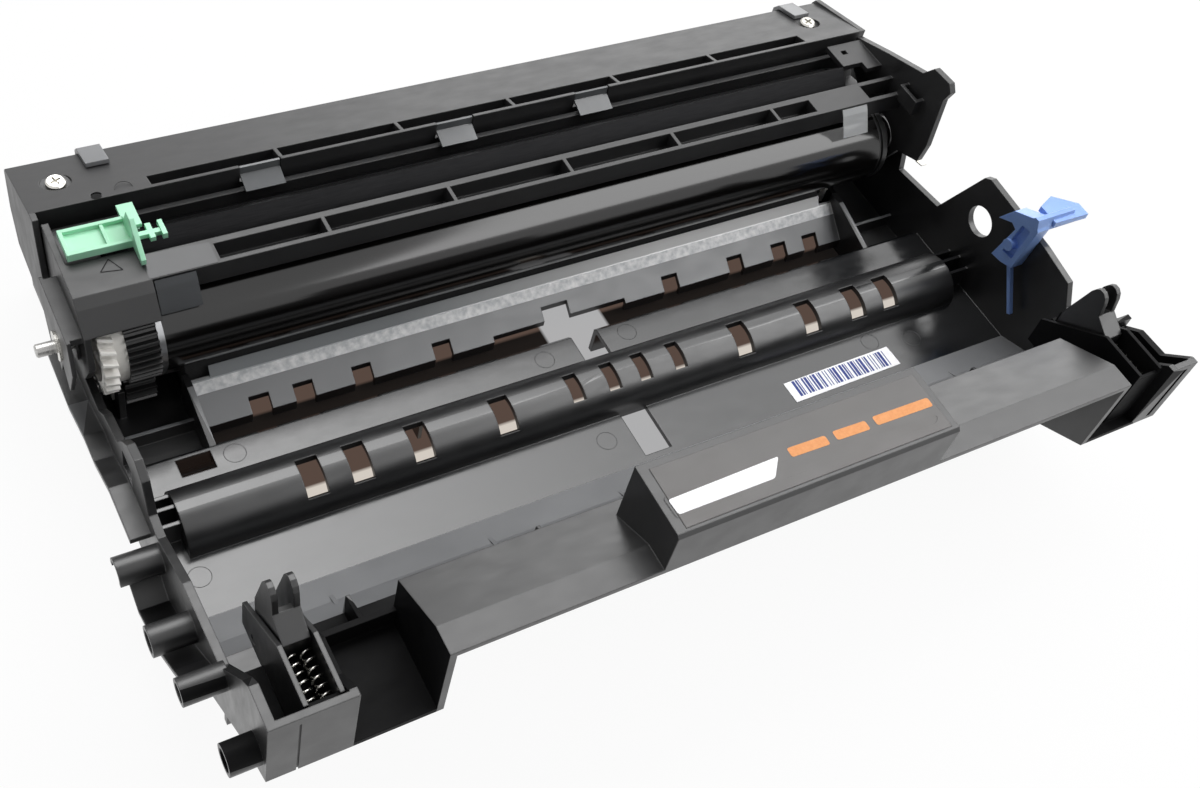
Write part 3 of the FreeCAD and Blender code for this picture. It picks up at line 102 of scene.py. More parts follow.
def start(name, base, roughness, **sockets):
    """A new material: its tree, its main shader and coordinates fixed to the piece."""
    finish = bpy.data.materials.new(name)
    finish.use_nodes = True
    tree = finish.node_tree
    shader = tree.nodes["Principled BSDF"]
    shader.inputs["Base Color"].default_value = linear(base)
    shader.inputs["Roughness"].default_value = roughness
    for key, value in sockets.items():
        shader.inputs[key.replace("_", " ")].default_value = value
    where = add(tree, "ShaderNodeTexCoord").outputs["Object"]
    return finish, tree, shader, where


print("black plastic as linear light", [round(v, 3) for v in linear("151516")[:3]])

# %% [markdown]
# ## Patterns
# Real surfaces are never one flat colour. Noise with a grain of a known size in
# millimetres makes the wear, the smears and the bubbles of the finishes below,
# and two helpers turn it into a range of roughness or a wander of colour.

# %% Pattern helpers


def noise(tree, where, size_mm, detail=2.0, stretch=(1, 1, 1)):
    """Noise whose grains measure about size_mm, drawn out along an axis by stretch."""
    grown = add(tree, "ShaderNodeMapping", {"Vector": where, "Scale": stretch})
    return add(tree, "ShaderNodeTexNoise", {
        "Vector": grown.outputs["Vector"], "Scale": 1000 / size_mm,
        "Detail": detail}).outputs["Fac"]


def spread(tree, value, low, high):
    """Maps a noise's middle range onto low to high."""
    return add(tree, "ShaderNodeMapRange", {
        "Value": value, "From Min": 0.3, "From Max": 0.7,
        "To Min": low, "To Max": high}).outputs["Result"]


def tint(tree, shader, factor, first, second):
    """Base colour that wanders between two hex colours."""
    mix = add(tree, "ShaderNodeMix", {"Factor": factor, 6: linear(first), 7: linear(second)},
              data_type="RGBA")
    tree.links.new(mix.outputs[2], shader.inputs["Base Color"])
    return mix


print("a grain of 0.35 mm is a noise scale of", round(1000 / 0.35))

# %% [markdown]
# ## Black mouldings
# Most of the unit is one black ABS plastic, yet it doesn't look the same all
# over. The outer faces come from a spark-eroded mould and carry a fine matt
# grain, while the bay floor comes from a polished mould and mirrors the lamps.
# Sharp corners of a moulding are always a little round, and a Bevel shader node
# rounds the light over each edge without touching the shape. Spark grain is
# really about a tenth of a millimetre. It is drawn at a third of one, so that
# it shows.

# %% Black plastics


def moulding(name, base, worn, roughness, grain, depth, edge_mm=0.5, gloss=0.62):
    """Black plastic: grain in mm, its depth, a rounded edge and slightly worn colour."""
    finish, tree, shader, where = start(name, base, roughness, IOR=1.55)
    shader.inputs["Specular IOR Level"].default_value = gloss
    clouds = noise(tree, where, 28.0, 3.0)
    tint(tree, shader, spread(tree, clouds, 0.0, 1.0), base, worn)
    smears = noise(tree, where, 9.0, 4.0, (1, 2.2, 1))
    rough = spread(tree, smears, roughness - 0.04, roughness + 0.06)
    tree.links.new(rough, shader.inputs["Roughness"])
    eased = add(tree, "ShaderNodeBevel", {"Radius": edge_mm / 1000}, samples=4)
    bump = add(tree, "ShaderNodeBump", {
        "Height": noise(tree, where, grain, 1.0), "Strength": 0.5,
        "Distance": depth / 1000, "Normal": eased.outputs["Normal"]})
    tree.links.new(bump.outputs["Normal"], shader.inputs["Normal"])
    return finish


# Spark-eroded outer faces: a soft grey sheen that breaks up over the grain.
textured_black = moulding("textured_black_plastic", "151516", "1D1D1E", 0.34, 0.35, 0.012)
# Polished bay floor: it mirrors the soft boxes as long pale fields.
polished_black = moulding("polished_black_plastic", "101113", "151618", 0.16, 3.0, 0.004,
                          gloss=0.76)
# Slopes, lip and straps: a mid grey copy of the black plastic, painted light where they face the
# lamps.
painted_light_black = moulding("painted_light_black_plastic", "6A6B6D", "747577", 0.38, 0.8, 0.006)
# Cover and housing: the dullest of the outer faces.
cover_black = moulding("matt_cover_plastic", "161617", "1E1E1F", 0.45, 0.35, 0.014, gloss=0.56)
# Gears: polyacetal filled black, with crisp edges on its teeth.
gear_black = moulding("black_gear_plastic", "151516", "1C1C1C", 0.33, 0.6, 0.006,
                      edge_mm=0.15, gloss=0.5)
# Undersides, pockets, recesses and parts deep in the trough: a near-black copy with almost no
# gloss, painted shade. The label's border and the cap's triangle take it as their dark line.
painted_shade_and_print_black = moulding("painted_shade_and_print_black_plastic", "070708", "0B0B0C", 0.55, 0.5, 0.008,
                       edge_mm=0.4, gloss=0.08)
print("black plastics:", textured_black.name, polished_black.name, cover_black.name)

# %% [markdown]
# ## Drum
# The photoconductor is an aluminium tube dipped in a dark organic coating. The
# coating is mirror smooth, so it shows as long streaks of light, and it stops
# short of the tube's end, where bare metal shows. A step on the distance along
# the drum swaps the coating for metal there.

# %% Drum coating
COATING_END = place(-137.4, 0, 0).x
COAT_ROUGHNESS, BARE_ROUGHNESS = 0.14, 0.3
drum_coat, tree, shader, where = start("drum_coating", "080707", COAT_ROUGHNESS, IOR=1.62)
along = add(tree, "ShaderNodeSeparateXYZ", {"Vector": where}).outputs["X"]
bare = add(tree, "ShaderNodeMath", {0: along, 1: COATING_END}, operation="LESS_THAN").outputs[0]
streaks = spread(tree, noise(tree, where, 40.0, 2.0, (0.1, 1, 1)), 0, 1)
coat = tint(tree, shader, streaks, "070606", "0C0B0A")
swap = add(tree, "ShaderNodeMix", {"Factor": bare, 6: coat.outputs[2], 7: linear("B9BABC")},
           data_type="RGBA")
tree.links.new(swap.outputs[2], shader.inputs["Base Color"])
tree.links.new(bare, shader.inputs["Metallic"])
turned = add(tree, "ShaderNodeMapRange", {
    "Value": bare, "To Min": COAT_ROUGHNESS, "To Max": BARE_ROUGHNESS})
tree.links.new(turned.outputs["Result"], shader.inputs["Roughness"])
print("bare metal up to x =", round(COATING_END, 4))

# %% [markdown]
# ## Foam, fibres and paper
# The transfer roller wears a sleeve of open foam, the bar behind the drum holds
# short fibres, and the serial label is paper. All three are made of small bits
# with air between them, so they are dull, and a bump as coarse as the bits
# gives them their tooth.

# %% Dull materials


def dull(name, base, second, size_mm, depth, stretch=(1, 1, 1)):
    """A dull material made of small bits: foam cells, fibres or paper."""
    finish, tree, shader, where = start(name, base, 0.85)
    bits = noise(tree, where, size_mm, 4.0, stretch)
    tint(tree, shader, spread(tree, bits, 0, 1), base, second)
    bump = add(tree, "ShaderNodeBump", {"Height": bits, "Strength": 0.8, "Distance": depth / 1000})
    tree.links.new(bump.outputs["Normal"], shader.inputs["Normal"])
    return finish


foam = dull("conductive_foam", "121213", "202021", 0.4, 0.15)
bristle = dull("brush_fibre", "0C0C0D", "1D1D1E", 0.2, 0.1, (4, 4, 0.3))
print("dull materials:", foam.name, bristle.name)

# %% [markdown]
# ## Coloured plastics and gears
# The wire cleaner is mint green and the release lever sky blue, so that a user
# finds what may be touched. Both are plain moulded plastic that lets a little
# light in, which subsurface scattering gives. The white gear is natural
# polyacetal, waxy and faintly cream.

# %% Coloured plastics


def coloured(name, base, second, roughness, glow):
    """Light plastic, with light scattered inside it over glow millimetres."""
    finish, tree, shader, where = start(name, base, roughness, IOR=1.48)
    shader.inputs["Subsurface Weight"].default_value = 0.15
    shader.inputs["Subsurface Radius"].default_value = (glow, glow, glow)
    shader.inputs["Subsurface Scale"].default_value = 0.001
    tint(tree, shader, spread(tree, noise(tree, where, 12.0, 3.0), 0, 1), base, second)
    eased = add(tree, "ShaderNodeBevel", {"Radius": 0.0003}, samples=4)
    bump = add(tree, "ShaderNodeBump", {
        "Height": noise(tree, where, 0.5, 1.0), "Strength": 0.4,
        "Distance": 0.00001, "Normal": eased.outputs["Normal"]})
    tree.links.new(bump.outputs["Normal"], shader.inputs["Normal"])
    return finish


mint_green = coloured("mint_green_plastic", "A2E0BC", "AEE7C7", 0.38, 1.0)
lever_blue = coloured("sky_blue_plastic", "84A6E6", "90B0EA", 0.32, 0.8)
gear_white = coloured("natural_polyacetal", "EAE8E2", "F1EFEB", 0.36, 1.5)
print("coloured plastics:", mint_green.name, lever_blue.name, gear_white.name)

# %% [markdown]
# ## Metals
# The shaft is ground steel, with fine marks round it, the screws and springs
# are zinc plated, and the charger's shield and grid are stamped sheet, drawn
# near black as painted shade of the trough round them. Each gets its own metal
# colour, and marks drawn out along the way it was worked.

# %% Metals


def metal(name, base, second, roughness, stretch):
    """Metal with working marks: stretch is small along the marks."""
    finish, tree, shader, where = start(name, base, roughness, Metallic=1.0)
    marks = noise(tree, where, 0.6, 3.0, stretch)
    tint(tree, shader, spread(tree, marks, 0, 1), base, second)
    rough = spread(tree, marks, roughness - 0.05, roughness + 0.08)
    tree.links.new(rough, shader.inputs["Roughness"])
    return finish


steel = metal("ground_steel", "A9A8A6", "B2B1AF", 0.30, (3, 0.3, 0.3))
zinc = metal("zinc_plate", "C3C1BB", "D2D0CA", 0.25, (1, 1, 1))
# Stamped sheet: drawn near black, painted shade of the charger's trough.
painted_shade_sheet_metal = metal("stamped_sheet_painted_shade", "1D1D1E", "262627", 0.42, (0.1, 2, 2))
tungsten = metal("drawn_wire", "8B8987", "979592", 0.4, (0.1, 2, 2))
print("metals:", steel.name, zinc.name, painted_shade_sheet_metal.name, tungsten.name)

# %% [markdown]
# ## Films
# The paper slides over a glossy film, drawn paler to the right as a painted
# highlight. The two flaps are film as well, one clear and one smoky, and so is
# the patch on the left cap. Film lies nearly flat, so a wide shallow ripple is
# all the bump that it needs. The clips and the patch are opaque, because the
# rounded light of a face that lies close below would show through them as a
# mottle.

# %% Films


def rippled(name, base, roughness, opacity):
    """Thin film of one colour with a faint ripple; opacity below 1 is see-through."""
    finish, tree, shader, where = start(name, base, roughness, IOR=1.5, Alpha=opacity)
    bump = add(tree, "ShaderNodeBump", {
        "Height": noise(tree, where, 14.0, 2.0), "Strength": 0.3, "Distance": 0.0003})
    tree.links.new(bump.outputs["Normal"], shader.inputs["Normal"])
    return finish, tree, shader, where


def film(name, base, second, roughness, opacity):
    """Rippled film whose colour wanders a little."""
    finish, tree, shader, where = rippled(name, base, roughness, opacity)
    tint(tree, shader, spread(tree, noise(tree, where, 15.0, 3.0), 0, 1), base, second)
    return finish


clear_film = film("clear_film", "C9CBCC", "D8DADB", 0.12, 0.45)
clear_clip = film("clear_clip_plastic", "56585A", "6A6C6E", 0.18, 1.0)
smoky_film = film("smoky_film", "35383B", "404347", 0.16, 0.85)
cap_film = film("cap_film", "2A2B2D", "323335", 0.28, 1.0)
print("films:", clear_film.name, clear_clip.name, smoky_film.name, cap_film.name)

# %% Paper film
guide_film, tree, shader, where = rippled("paper_film", "C6C9CB", 0.24, 0.97)
shader.inputs["Specular IOR Level"].default_value = 1.0
along = add(tree, "ShaderNodeSeparateXYZ", {"Vector": where}).outputs["X"]
# Painted highlight: the film's colour grows paler to the right.
painted_highlight_rightward = add(tree, "ShaderNodeMapRange", {
    "Value": along, "From Min": place(-60, 0, 0).x, "From Max": place(40, 0, 0).x})
tint(tree, shader, painted_highlight_rightward.outputs["Result"], "A2A6A9", "FFFFFF")
print("paper film:", guide_film.name)

# %% [markdown]
# ## Tape and labels
# Tape holds the film down along its rear edge. Small air bubbles under it show
# as a mottle. The front label is a dark gloss film with a bare white panel and
# plain amber bars on it, and the serial label is white paper with blue bars.

# %% Tape and label materials
tape, tree, shader, where = start("mottled_tape", "CFD2D4", 0.3, IOR=1.45)
bubbles = noise(tree, where, 2.2, 5.0)
tint(tree, shader, spread(tree, bubbles, 0, 1), "C2C5C8", "FFFFFF")
bump = add(tree, "ShaderNodeBump", {"Height": bubbles, "Strength": 0.4, "Distance": 0.0001})
tree.links.new(bump.outputs["Normal"], shader.inputs["Normal"])

label_film = moulding("label_film", "2B2827", "332F2D", 0.36, 2.0, 0.004)
label_white = dull("label_paper", "EFEFF2", "FAFAFC", 1.5, 0.01)
label_ink = dull("label_ink", "33407E", "3F4C8C", 1.0, 0.005)
label_amber = dull("label_amber", "D9925C", "E3A06C", 0.8, 0.005)
print("tape and labels:", tape.name, label_film.name, label_white.name)

# %% [markdown]
# ## Finishes onto the frame
# Each CAD solid takes one finish. Only the frame moulding takes more, and it
# follows in the next step.

# %% Assign finishes
FINISH = {
    "drum_housing": cover_black, "rear_cover": cover_black, "cover_strap_left": painted_light_black,
    "cover_strap_right": painted_light_black, "cover_screws": zinc, "window_clips": clear_clip,
    "drum_tube": drum_coat, "drum_gear": gear_black, "drive_gear": gear_white,
    "drum_end_flange": gear_black, "drum_shaft": steel, "shaft_bush_left": gear_black,
    "shaft_bush_right": gear_black, "shaft_clip": zinc, "transfer_roller_shaft": steel,
    "transfer_roller_sleeve": foam, "transfer_roller_gear": gear_black,
    "roller_bearing_left": gear_white, "roller_bearing_right": gear_white,
    "charger_shield": painted_shade_sheet_metal, "charger_grid": painted_shade_sheet_metal,
    "wire_anchor_left": painted_shade_and_print_black, "wire_anchor_right": painted_shade_and_print_black,
    "corona_wire": tungsten, "wire_cleaner": mint_green,
    "release_lever": lever_blue, "press_lever_left": textured_black,
    "press_lever_right": textured_black, "lever_springs_left": zinc,
    "lever_springs_right": zinc, "guide_film": guide_film, "adhesive_tape": tape,
    "film_flap_left": smoky_film, "film_flap_right": clear_film, "contact_spring": zinc,
    "brush_holder": painted_shade_and_print_black, "brush_bristles": bristle, "front_label": label_film,
    "serial_label": label_white,
}
for name, finish in FINISH.items():
    nodes[name].data.materials.clear()
    nodes[name].data.materials.append(finish)
print(len(FINISH), "nodes have one finish")

# %% [markdown]
# ## Finishes of the frame moulding
# The frame moulding takes four finishes: the faces that look up from the toner
# bay came from the polished side of the mould, the slopes at its front and the
# paper lip take a mid grey copy of the black plastic, painted light, the outer
# faces are textured, and the undersides, the insides of the pockets and the
# faces under the drum and behind the handle take a near-black copy, painted
# shade. The faces are told apart by where they lie and which way they look.
# Only their material index is set, so the solid keeps its shape.

# %% Regions of the frame, in millimetres along X, Y and Z
# The third finish is a near-black copy of the plastic, painted shade, and the fourth a mid grey
# copy, painted light.
TEXTURED, POLISHED, PAINTED_SHADE, PAINTED_LIGHT = range(4)
FAR = 999
UNDER_DRUM = ((-131, 131), (36, FAR), (-FAR, 30))
BEHIND_HANDLE = ((-137, 137), (-78.5, -61.2), (19, 50))
FINGER_POCKET = ((114.4, 136.9), (-FAR, -61), (-FAR, 69))
LEVER_BOX = ((136, FAR), (-FAR, -77), (-FAR, 68))
TONER_BAY = ((-157, 143), (-61.5, 12), (5, 26))
PAPER_LIP = ((-FAR, FAR), (20, 36), (4, 17))
SLOPE_END = -43
BEAM_FRONT, BEAM_REAR = -25, -1


def within(spot, region):
    """Whether a spot lies inside a region along all three axes."""
    return all(low < value < high for value, (low, high) in zip(spot, region))


def frame_finish(spot, facing):
    """Which finish a face of the frame takes, from its middle and its normal."""
    folded = (abs(spot.x), spot.y, spot.z)
    looks_inward = facing.z > 0.3 or facing.y > 0.5 or facing.x * spot.x < -50
    # Undersides, the trough under the drum, the shelf behind the handle, the finger pockets and
    # the inner faces of the lever boxes take painted shade.
    if facing.z < -0.3 or within(spot, UNDER_DRUM) or within(spot, BEHIND_HANDLE):
        return PAINTED_SHADE
    if within(folded, FINGER_POCKET) or (within(folded, LEVER_BOX) and looks_inward):
        return PAINTED_SHADE
    if within(spot, TONER_BAY):
        # Slopes at the bay's front take painted light.
        if spot.y < SLOPE_END and facing.y > 0.2:
            return PAINTED_LIGHT
        on_beam = BEAM_FRONT < spot.y < BEAM_REAR
        return POLISHED if facing.z > 0.99 or not on_beam else TEXTURED
    # The top of the paper lip takes painted light.
    if within(spot, PAPER_LIP) and facing.z > 0.5:
        return PAINTED_LIGHT
    return TEXTURED


floor_finish = frame_finish(Vector((0, -30, 13.5)), Vector((0, 0, 1)))
print("the bay floor is polished:", floor_finish == POLISHED)

# %% Assign the frame's finishes
moulded = nodes["main_frame"].data
moulded.materials.clear()
for finish in (textured_black, polished_black, painted_shade_and_print_black, painted_light_black):
    moulded.materials.append(finish)
counts = [0, 0, 0, 0]
for face in moulded.polygons:
    face.material_index = frame_finish(face.center * 1000 - OFFSET, face.normal)
    counts[face.material_index] += 1
print("faces of the four finishes:", counts)

# %% [markdown]
# ## Lever springs
# Two coil springs push each forked lever back, and in the real unit they get
# shorter as the lever is pressed. A coil has no bones to bend. A copy of the
# CAD coils, with its loose triangles merged first and its faces smooth, takes
# their place, fixed to the unit, and the CAD coils are hidden.

# %% Spring copies
for side, joint in (("left", "press_left_swing"), ("right", "press_right_swing")):
    solid = "lever_springs_" + side
    coil = bmesh.new()
    coil.from_mesh(nodes[solid].data)
    bmesh.ops.remove_doubles(coil, verts=coil.verts, dist=1e-6)
    for facet in coil.faces:
        facet.smooth = True
    mesh = bpy.data.meshes.new("spring_coils_" + side)
    coil.to_mesh(mesh)
    coil.free()
    mesh.materials.append(zinc)
    coils = bpy.data.objects.new("spring_coils_" + side, mesh)
    bpy.context.scene.collection.objects.link(coils)
    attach(coils, "unit")
    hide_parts(solid)
    low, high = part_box(solid)
    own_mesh(coils)
    print(coils.name, "shorten from", round((high.y - low.y) * 1000, 1), "mm")

# %% [markdown]
# ## Marks of the mould
# Ejector pins push a moulding out of its mould and leave round marks on its
# flat faces. The real unit shows them as thin rings on the bay floor. They
# repeat, so Geometry Nodes place one ring profile at each point of a small
# mesh, with the ring's size as a named input.

# %% Rings at points


def at_points(name, points, finish, body, build, inputs):
    """Runs a Geometry Nodes tree on loose points and keeps the result as a plain mesh."""
    cloud = bpy.data.meshes.new(name + "_points")
    cloud.from_pydata([tuple(p) for p in points], [], [])
    holder = bpy.data.objects.new(name + "_holder", cloud)
    bpy.context.scene.collection.objects.link(holder)
    group = bpy.data.node_groups.new(name + "_tree", "GeometryNodeTree")
    face = group.interface
    face.new_socket("Geometry", in_out="INPUT", socket_type="NodeSocketGeometry")
    sockets = {key: face.new_socket(key, in_out="INPUT", socket_type="NodeSocketFloat")
               for key in inputs}
    face.new_socket("Geometry", in_out="OUTPUT", socket_type="NodeSocketGeometry")
    entry = group.nodes.new("NodeGroupInput")
    leave = group.nodes.new("NodeGroupOutput")
    shape = build(group, entry)
    spots = group.nodes.new("GeometryNodeInstanceOnPoints")
    real = group.nodes.new("GeometryNodeRealizeInstances")
    paint = group.nodes.new("GeometryNodeSetMaterial")
    paint.inputs["Material"].default_value = finish
    group.links.new(entry.outputs["Geometry"], spots.inputs["Points"])
    group.links.new(shape, spots.inputs["Instance"])
    group.links.new(spots.outputs["Instances"], real.inputs[0])
    group.links.new(real.outputs[0], paint.inputs["Geometry"])
    group.links.new(paint.outputs["Geometry"], leave.inputs["Geometry"])
    modifier = holder.modifiers.new(name, "NODES")
    modifier.node_group = group
    for key, value in inputs.items():
        modifier[sockets[key].identifier] = value
    graph = bpy.context.evaluated_depsgraph_get()
    mesh = bpy.data.meshes.new_from_object(holder.evaluated_get(graph))
    bpy.data.objects.remove(holder)
    piece = bpy.data.objects.new(name, mesh)
    bpy.context.scene.collection.objects.link(piece)
    print(name, "has", len(mesh.polygons), "faces")
    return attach(piece, body)


def ring_tree(group, entry):
    """A thin round wire swept round a circle: the raised rim of an ejector mark."""
    path = group.nodes.new("GeometryNodeCurvePrimitiveCircle")
    path.inputs["Resolution"].default_value = 40
    wire = group.nodes.new("GeometryNodeCurvePrimitiveCircle")
    wire.inputs["Resolution"].default_value = 6
    sweep = group.nodes.new("GeometryNodeCurveToMesh")
    group.links.new(entry.outputs["Ring radius"], path.inputs["Radius"])
    group.links.new(entry.outputs["Rim radius"], wire.inputs["Radius"])
    group.links.new(path.outputs["Curve"], sweep.inputs["Curve"])
    group.links.new(wire.outputs["Curve"], sweep.inputs["Profile Curve"])
    return sweep.outputs["Mesh"]


FLOOR_RING = {"Ring radius": 0.0033, "Rim radius": 0.00010}
COVER_RING = {"Ring radius": 0.0026, "Rim radius": 0.00016}
print("ring sizes in metres:", FLOOR_RING, COVER_RING)

# %% Ejector rings
FLOOR = 13.5
ring_spots = [(-149.6, -30.4), (-21, 4.7), (-17.3, -31.5), (92.9, -28.2), (109.3, -32.2),
              (11.4, 5.7), (-126.1, 5.5)]
at_points("ejector_rings", [place(x, y, FLOOR) for x, y in ring_spots], polished_black, "unit",
          ring_tree, FLOOR_RING)

COVER_EDGE_Y, COVER_EDGE_Z, COVER_SLOPE = 71.5, 61.6, 0.3004
COVER_RING_X, COVER_RING_Y = -134.0, 74.4
ring_height = COVER_EDGE_Z - COVER_SLOPE * (COVER_RING_Y - COVER_EDGE_Y)
at_points("cover_ring", [place(COVER_RING_X, COVER_RING_Y, ring_height)], cover_black, "unit",
          ring_tree, COVER_RING)

# %% [markdown]
# ## Engraved marks and the film patch
# A thin outline can be a printed line or a shallow groove. Each is made here as
# a flat ribbon that follows a closed path, raised by a few hundredths of a
# millimetre. The triangle on the left cap points at the wire cleaner's parking
# place, a small hole in the cover behind it is a flat near-black disc, painted
# shade, and a patch of smoky film lies on the cap.

# %% Flat pieces


def flat_piece(name, loops, finish, body):
    """Flat faces, each a list of places, as one thin printed piece."""
    points = [p for loop in loops for p in loop]
    faces, first = [], 0
    for loop in loops:
        faces.append(tuple(range(first, first + len(loop))))
        first += len(loop)
    mesh = bpy.data.meshes.new(name)
    mesh.from_pydata([tuple(p) for p in points], [], faces)
    mesh.materials.append(finish)
    piece = bpy.data.objects.new(name, mesh)
    bpy.context.scene.collection.objects.link(piece)
    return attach(piece, body)


def rounded(corners, radius, steps=5):
    """Corners of a flat path, each turned into a short arc of about radius."""
    path = []
    for index, corner in enumerate(corners):
        here = Vector(corner)
        before = (Vector(corners[index - 1]) - here).normalized() * radius
        after = (Vector(corners[(index + 1) % len(corners)]) - here).normalized() * radius
        for step in range(steps + 1):
            t = step / steps
            path.append(here + before * (1 - t) ** 2 + after * t ** 2)
    return path


def outline(path, width):
    """Quads of a ribbon of width along a closed flat path."""
    middle = sum(path, Vector((0, 0, 0))) / len(path)
    inner = [p + (middle - p).normalized() * width for p in path]
    return [[path[i - 1], path[i], inner[i], inner[i - 1]] for i in range(len(path))]


square = rounded([(0, 0, 0), (1, 0, 0), (1, 1, 0), (0, 1, 0)], 0.1)
print("a square with rounded corners has", len(square), "points")

# %% Marks on the cap and the cover
CAP = 60.12
arrow = rounded([place(-146.4, 50.0, CAP), place(-150.0, 45.7, CAP), place(-143.7, 44.7, CAP)],
                0.0003, 2)
flat_piece("cap_triangle", outline(arrow, 0.0004), painted_shade_and_print_black, "unit")

# The hole is a flat near-black disc: painted shade.
HOLE_X, HOLE_Y, HOLE_Z = -142.4, 72.9, 61.25
HOLE_RADIUS, HOLE_FALL = 1.5, 0.45
hole = [place(HOLE_X + HOLE_RADIUS * math.cos(a), HOLE_Y + HOLE_RADIUS * math.sin(a),
              HOLE_Z - HOLE_FALL * math.sin(a))
        for a in (math.tau * i / 24 for i in range(24))]
flat_piece("painted_shade_cover_hole", [hole], painted_shade_and_print_black, "unit")

patch = rounded([place(-138.2, 48.4, CAP), place(-138.2, 39.2, CAP), place(-118.4, 39.2, CAP),
                 place(-118.4, 47.2, CAP)], 0.0004, 2)
flat_piece("cap_film_patch", [patch], cap_film, "unit")
print("outline of", len(arrow), "points, hole and film patch")

# %% [markdown]
# ## Bars of the serial label
# The serial label has a block of upright bars. Bars are strips of many widths,
# and a fixed list of widths gives them without any real code in them. Ink
# stands only a few hundredths of a millimetre proud.

# %% Serial label bars
BAR_UNIT = 0.00036
BAR_MARGIN_LEFT, BAR_MARGIN_RIGHT = 0.0030, 0.0022
BAR_MARGIN_FRONT, BAR_MARGIN_REAR = 0.0016, 0.0009
widths = [3, 1, 2, 1, 1, 3, 2, 1, 3, 1, 1, 2, 2, 1, 3, 2,
          1, 1, 2, 3, 1, 2, 1, 3, 1, 1, 2, 1, 3, 2, 1, 2]
low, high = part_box("serial_label")
top = high.z + 0.00004
front, rear = low.y + BAR_MARGIN_FRONT, high.y - BAR_MARGIN_REAR
bars, edge = [], low.x + BAR_MARGIN_LEFT
for index in range(len(widths) * 2 - 1):
    width = widths[index % len(widths)] * BAR_UNIT
    if index % 2 == 0 and edge + width < high.x - BAR_MARGIN_RIGHT:
        bars.append([(edge, front, top), (edge + width, front, top),
                     (edge + width, rear, top), (edge, rear, top)])
    edge += width
flat_piece("label_bars", bars, label_ink, "unit")
print(len(bars), "bars on a label", round(high.x - low.x, 4), "m long")

# %% [markdown]
# ## Panel of the front label
# The front label carries a bare white panel with round corners, a thin border
# round the whole print, and three plain amber bars.

# %% Front label print
INK = 88.39
panel = rounded([place(-51.6, -93.3, INK), place(-51.2, -98.1, INK), place(-21.6, -98.1, INK),
                 place(-17.0, -92.6, INK)], 0.0009)
flat_piece("label_panel", [panel], label_white, "unit")
border = rounded([place(-52.6, -92.2, INK), place(-52.2, -99.0, INK), place(32.0, -99.6, INK),
                  place(33.6, -97.6, INK)], 0.0012)
flat_piece("label_border", outline(border, 0.00012), painted_shade_and_print_black, "unit")
amber = []
for start_x, end_x in ((-13.6, -1.2), (1.4, 12.4), (15.0, 34.4)):
    amber.append(rounded([place(start_x, -91.3, INK), place(start_x, -94.3, INK),
                          place(end_x, -94.6, INK), place(end_x, -91.6, INK)], 0.0008))
flat_piece("label_word_bars", amber, label_amber, "unit")
print("panel, border and", len(amber), "amber bars")

# %% [markdown]
# ## Camera
# The camera's place and lens were solved from known lengths of the unit, such
# as the paper width between its outer windows. The three columns of its matrix
# are the picture's right, the picture's up, and the way back to the lens.

# %% Camera
AZIMUTH, ELEVATION, ROLL = math.radians(-43.33), math.radians(51.06), math.radians(18.2)
SENSOR_MM, PICTURE_WIDE, FOCAL_PIXELS = 36.0, 1200, 1440.08
back = Vector((math.sin(AZIMUTH) * math.cos(ELEVATION),
               -math.cos(AZIMUTH) * math.cos(ELEVATION), math.sin(ELEVATION)))
level = Vector((0, 0, 1)).cross(back).normalized()
rise = back.cross(level)
right = math.cos(ROLL) * level + math.sin(ROLL) * rise
up = -math.sin(ROLL) * level + math.cos(ROLL) * rise
eye = place(-212.9, -229.0, 378.9)
lens = bpy.data.cameras.new("photo_camera")
lens.sensor_fit = "HORIZONTAL"
lens.sensor_width = SENSOR_MM
lens.lens = SENSOR_MM * FOCAL_PIXELS / PICTURE_WIDE
lens.clip_start, lens.clip_end = 0.01, 50.0
camera = bpy.data.objects.new("photo_camera", lens)
camera.matrix_world = Matrix.Translation(eye) @ Matrix((right, up, back)).transposed().to_4x4()
bpy.context.scene.collection.objects.link(camera)
bpy.context.scene.camera = camera
print("lens", round(lens.lens, 2), "mm at", [round(c, 3) for c in eye])

# %% [markdown]
# ## White for the camera
# The picture has a white ground. The floor and the world are white only for the
# camera and for its mirror rays, and the lamps stay at a plain level, so the
# black plastic isn't flooded with light from the ground.

# %% Straight rays


def straight_rays(tree):
    """1 for what the camera sees, also in a mirror or through film; 0 for all soft light."""
    rays = add(tree, "ShaderNodeLightPath")
    mirrored = add(tree, "ShaderNodeMath", {
        0: rays.outputs["Is Glossy Ray"], 1: rays.outputs["Is Transmission Ray"]},
        operation="MAXIMUM")
    return add(tree, "ShaderNodeMath", {
        0: rays.outputs["Is Camera Ray"], 1: mirrored.outputs[0]},
        operation="MAXIMUM").outputs[0]


SOFT_LIGHT = 0.12
world = bpy.data.worlds.new("studio")
world.use_nodes = True
tree = world.node_tree
dim = add(tree, "ShaderNodeBackground", {"Color": (1, 1, 1, 1), "Strength": SOFT_LIGHT})
bright = add(tree, "ShaderNodeBackground", {"Color": (1, 1, 1, 1), "Strength": 1.0})
sky = add(tree, "ShaderNodeMixShader", {
    0: straight_rays(tree), 1: dim.outputs[0], 2: bright.outputs[0]})
tree.links.new(sky.outputs[0], tree.nodes["World Output"].inputs["Surface"])
bpy.context.scene.world = world
print("world", world.name, "gives soft light of", SOFT_LIGHT)

# %% [markdown]
# ## Ground under the unit
# Under the unit the ground carries painted shade: a warm brown painted shadow
# with paler strips of painted light. It shows through the beam's windows, the
# notches of the lip and the gap in the toner bay. Each strip is a band between
# two distances with soft edges, and the bands are laid over each other inside
# the unit's own footprint.

# %% Ground bands
UNIT_MIDDLE, UNIT_HALF = place(-7.0, 26.0, 0), (0.147, 0.0725)


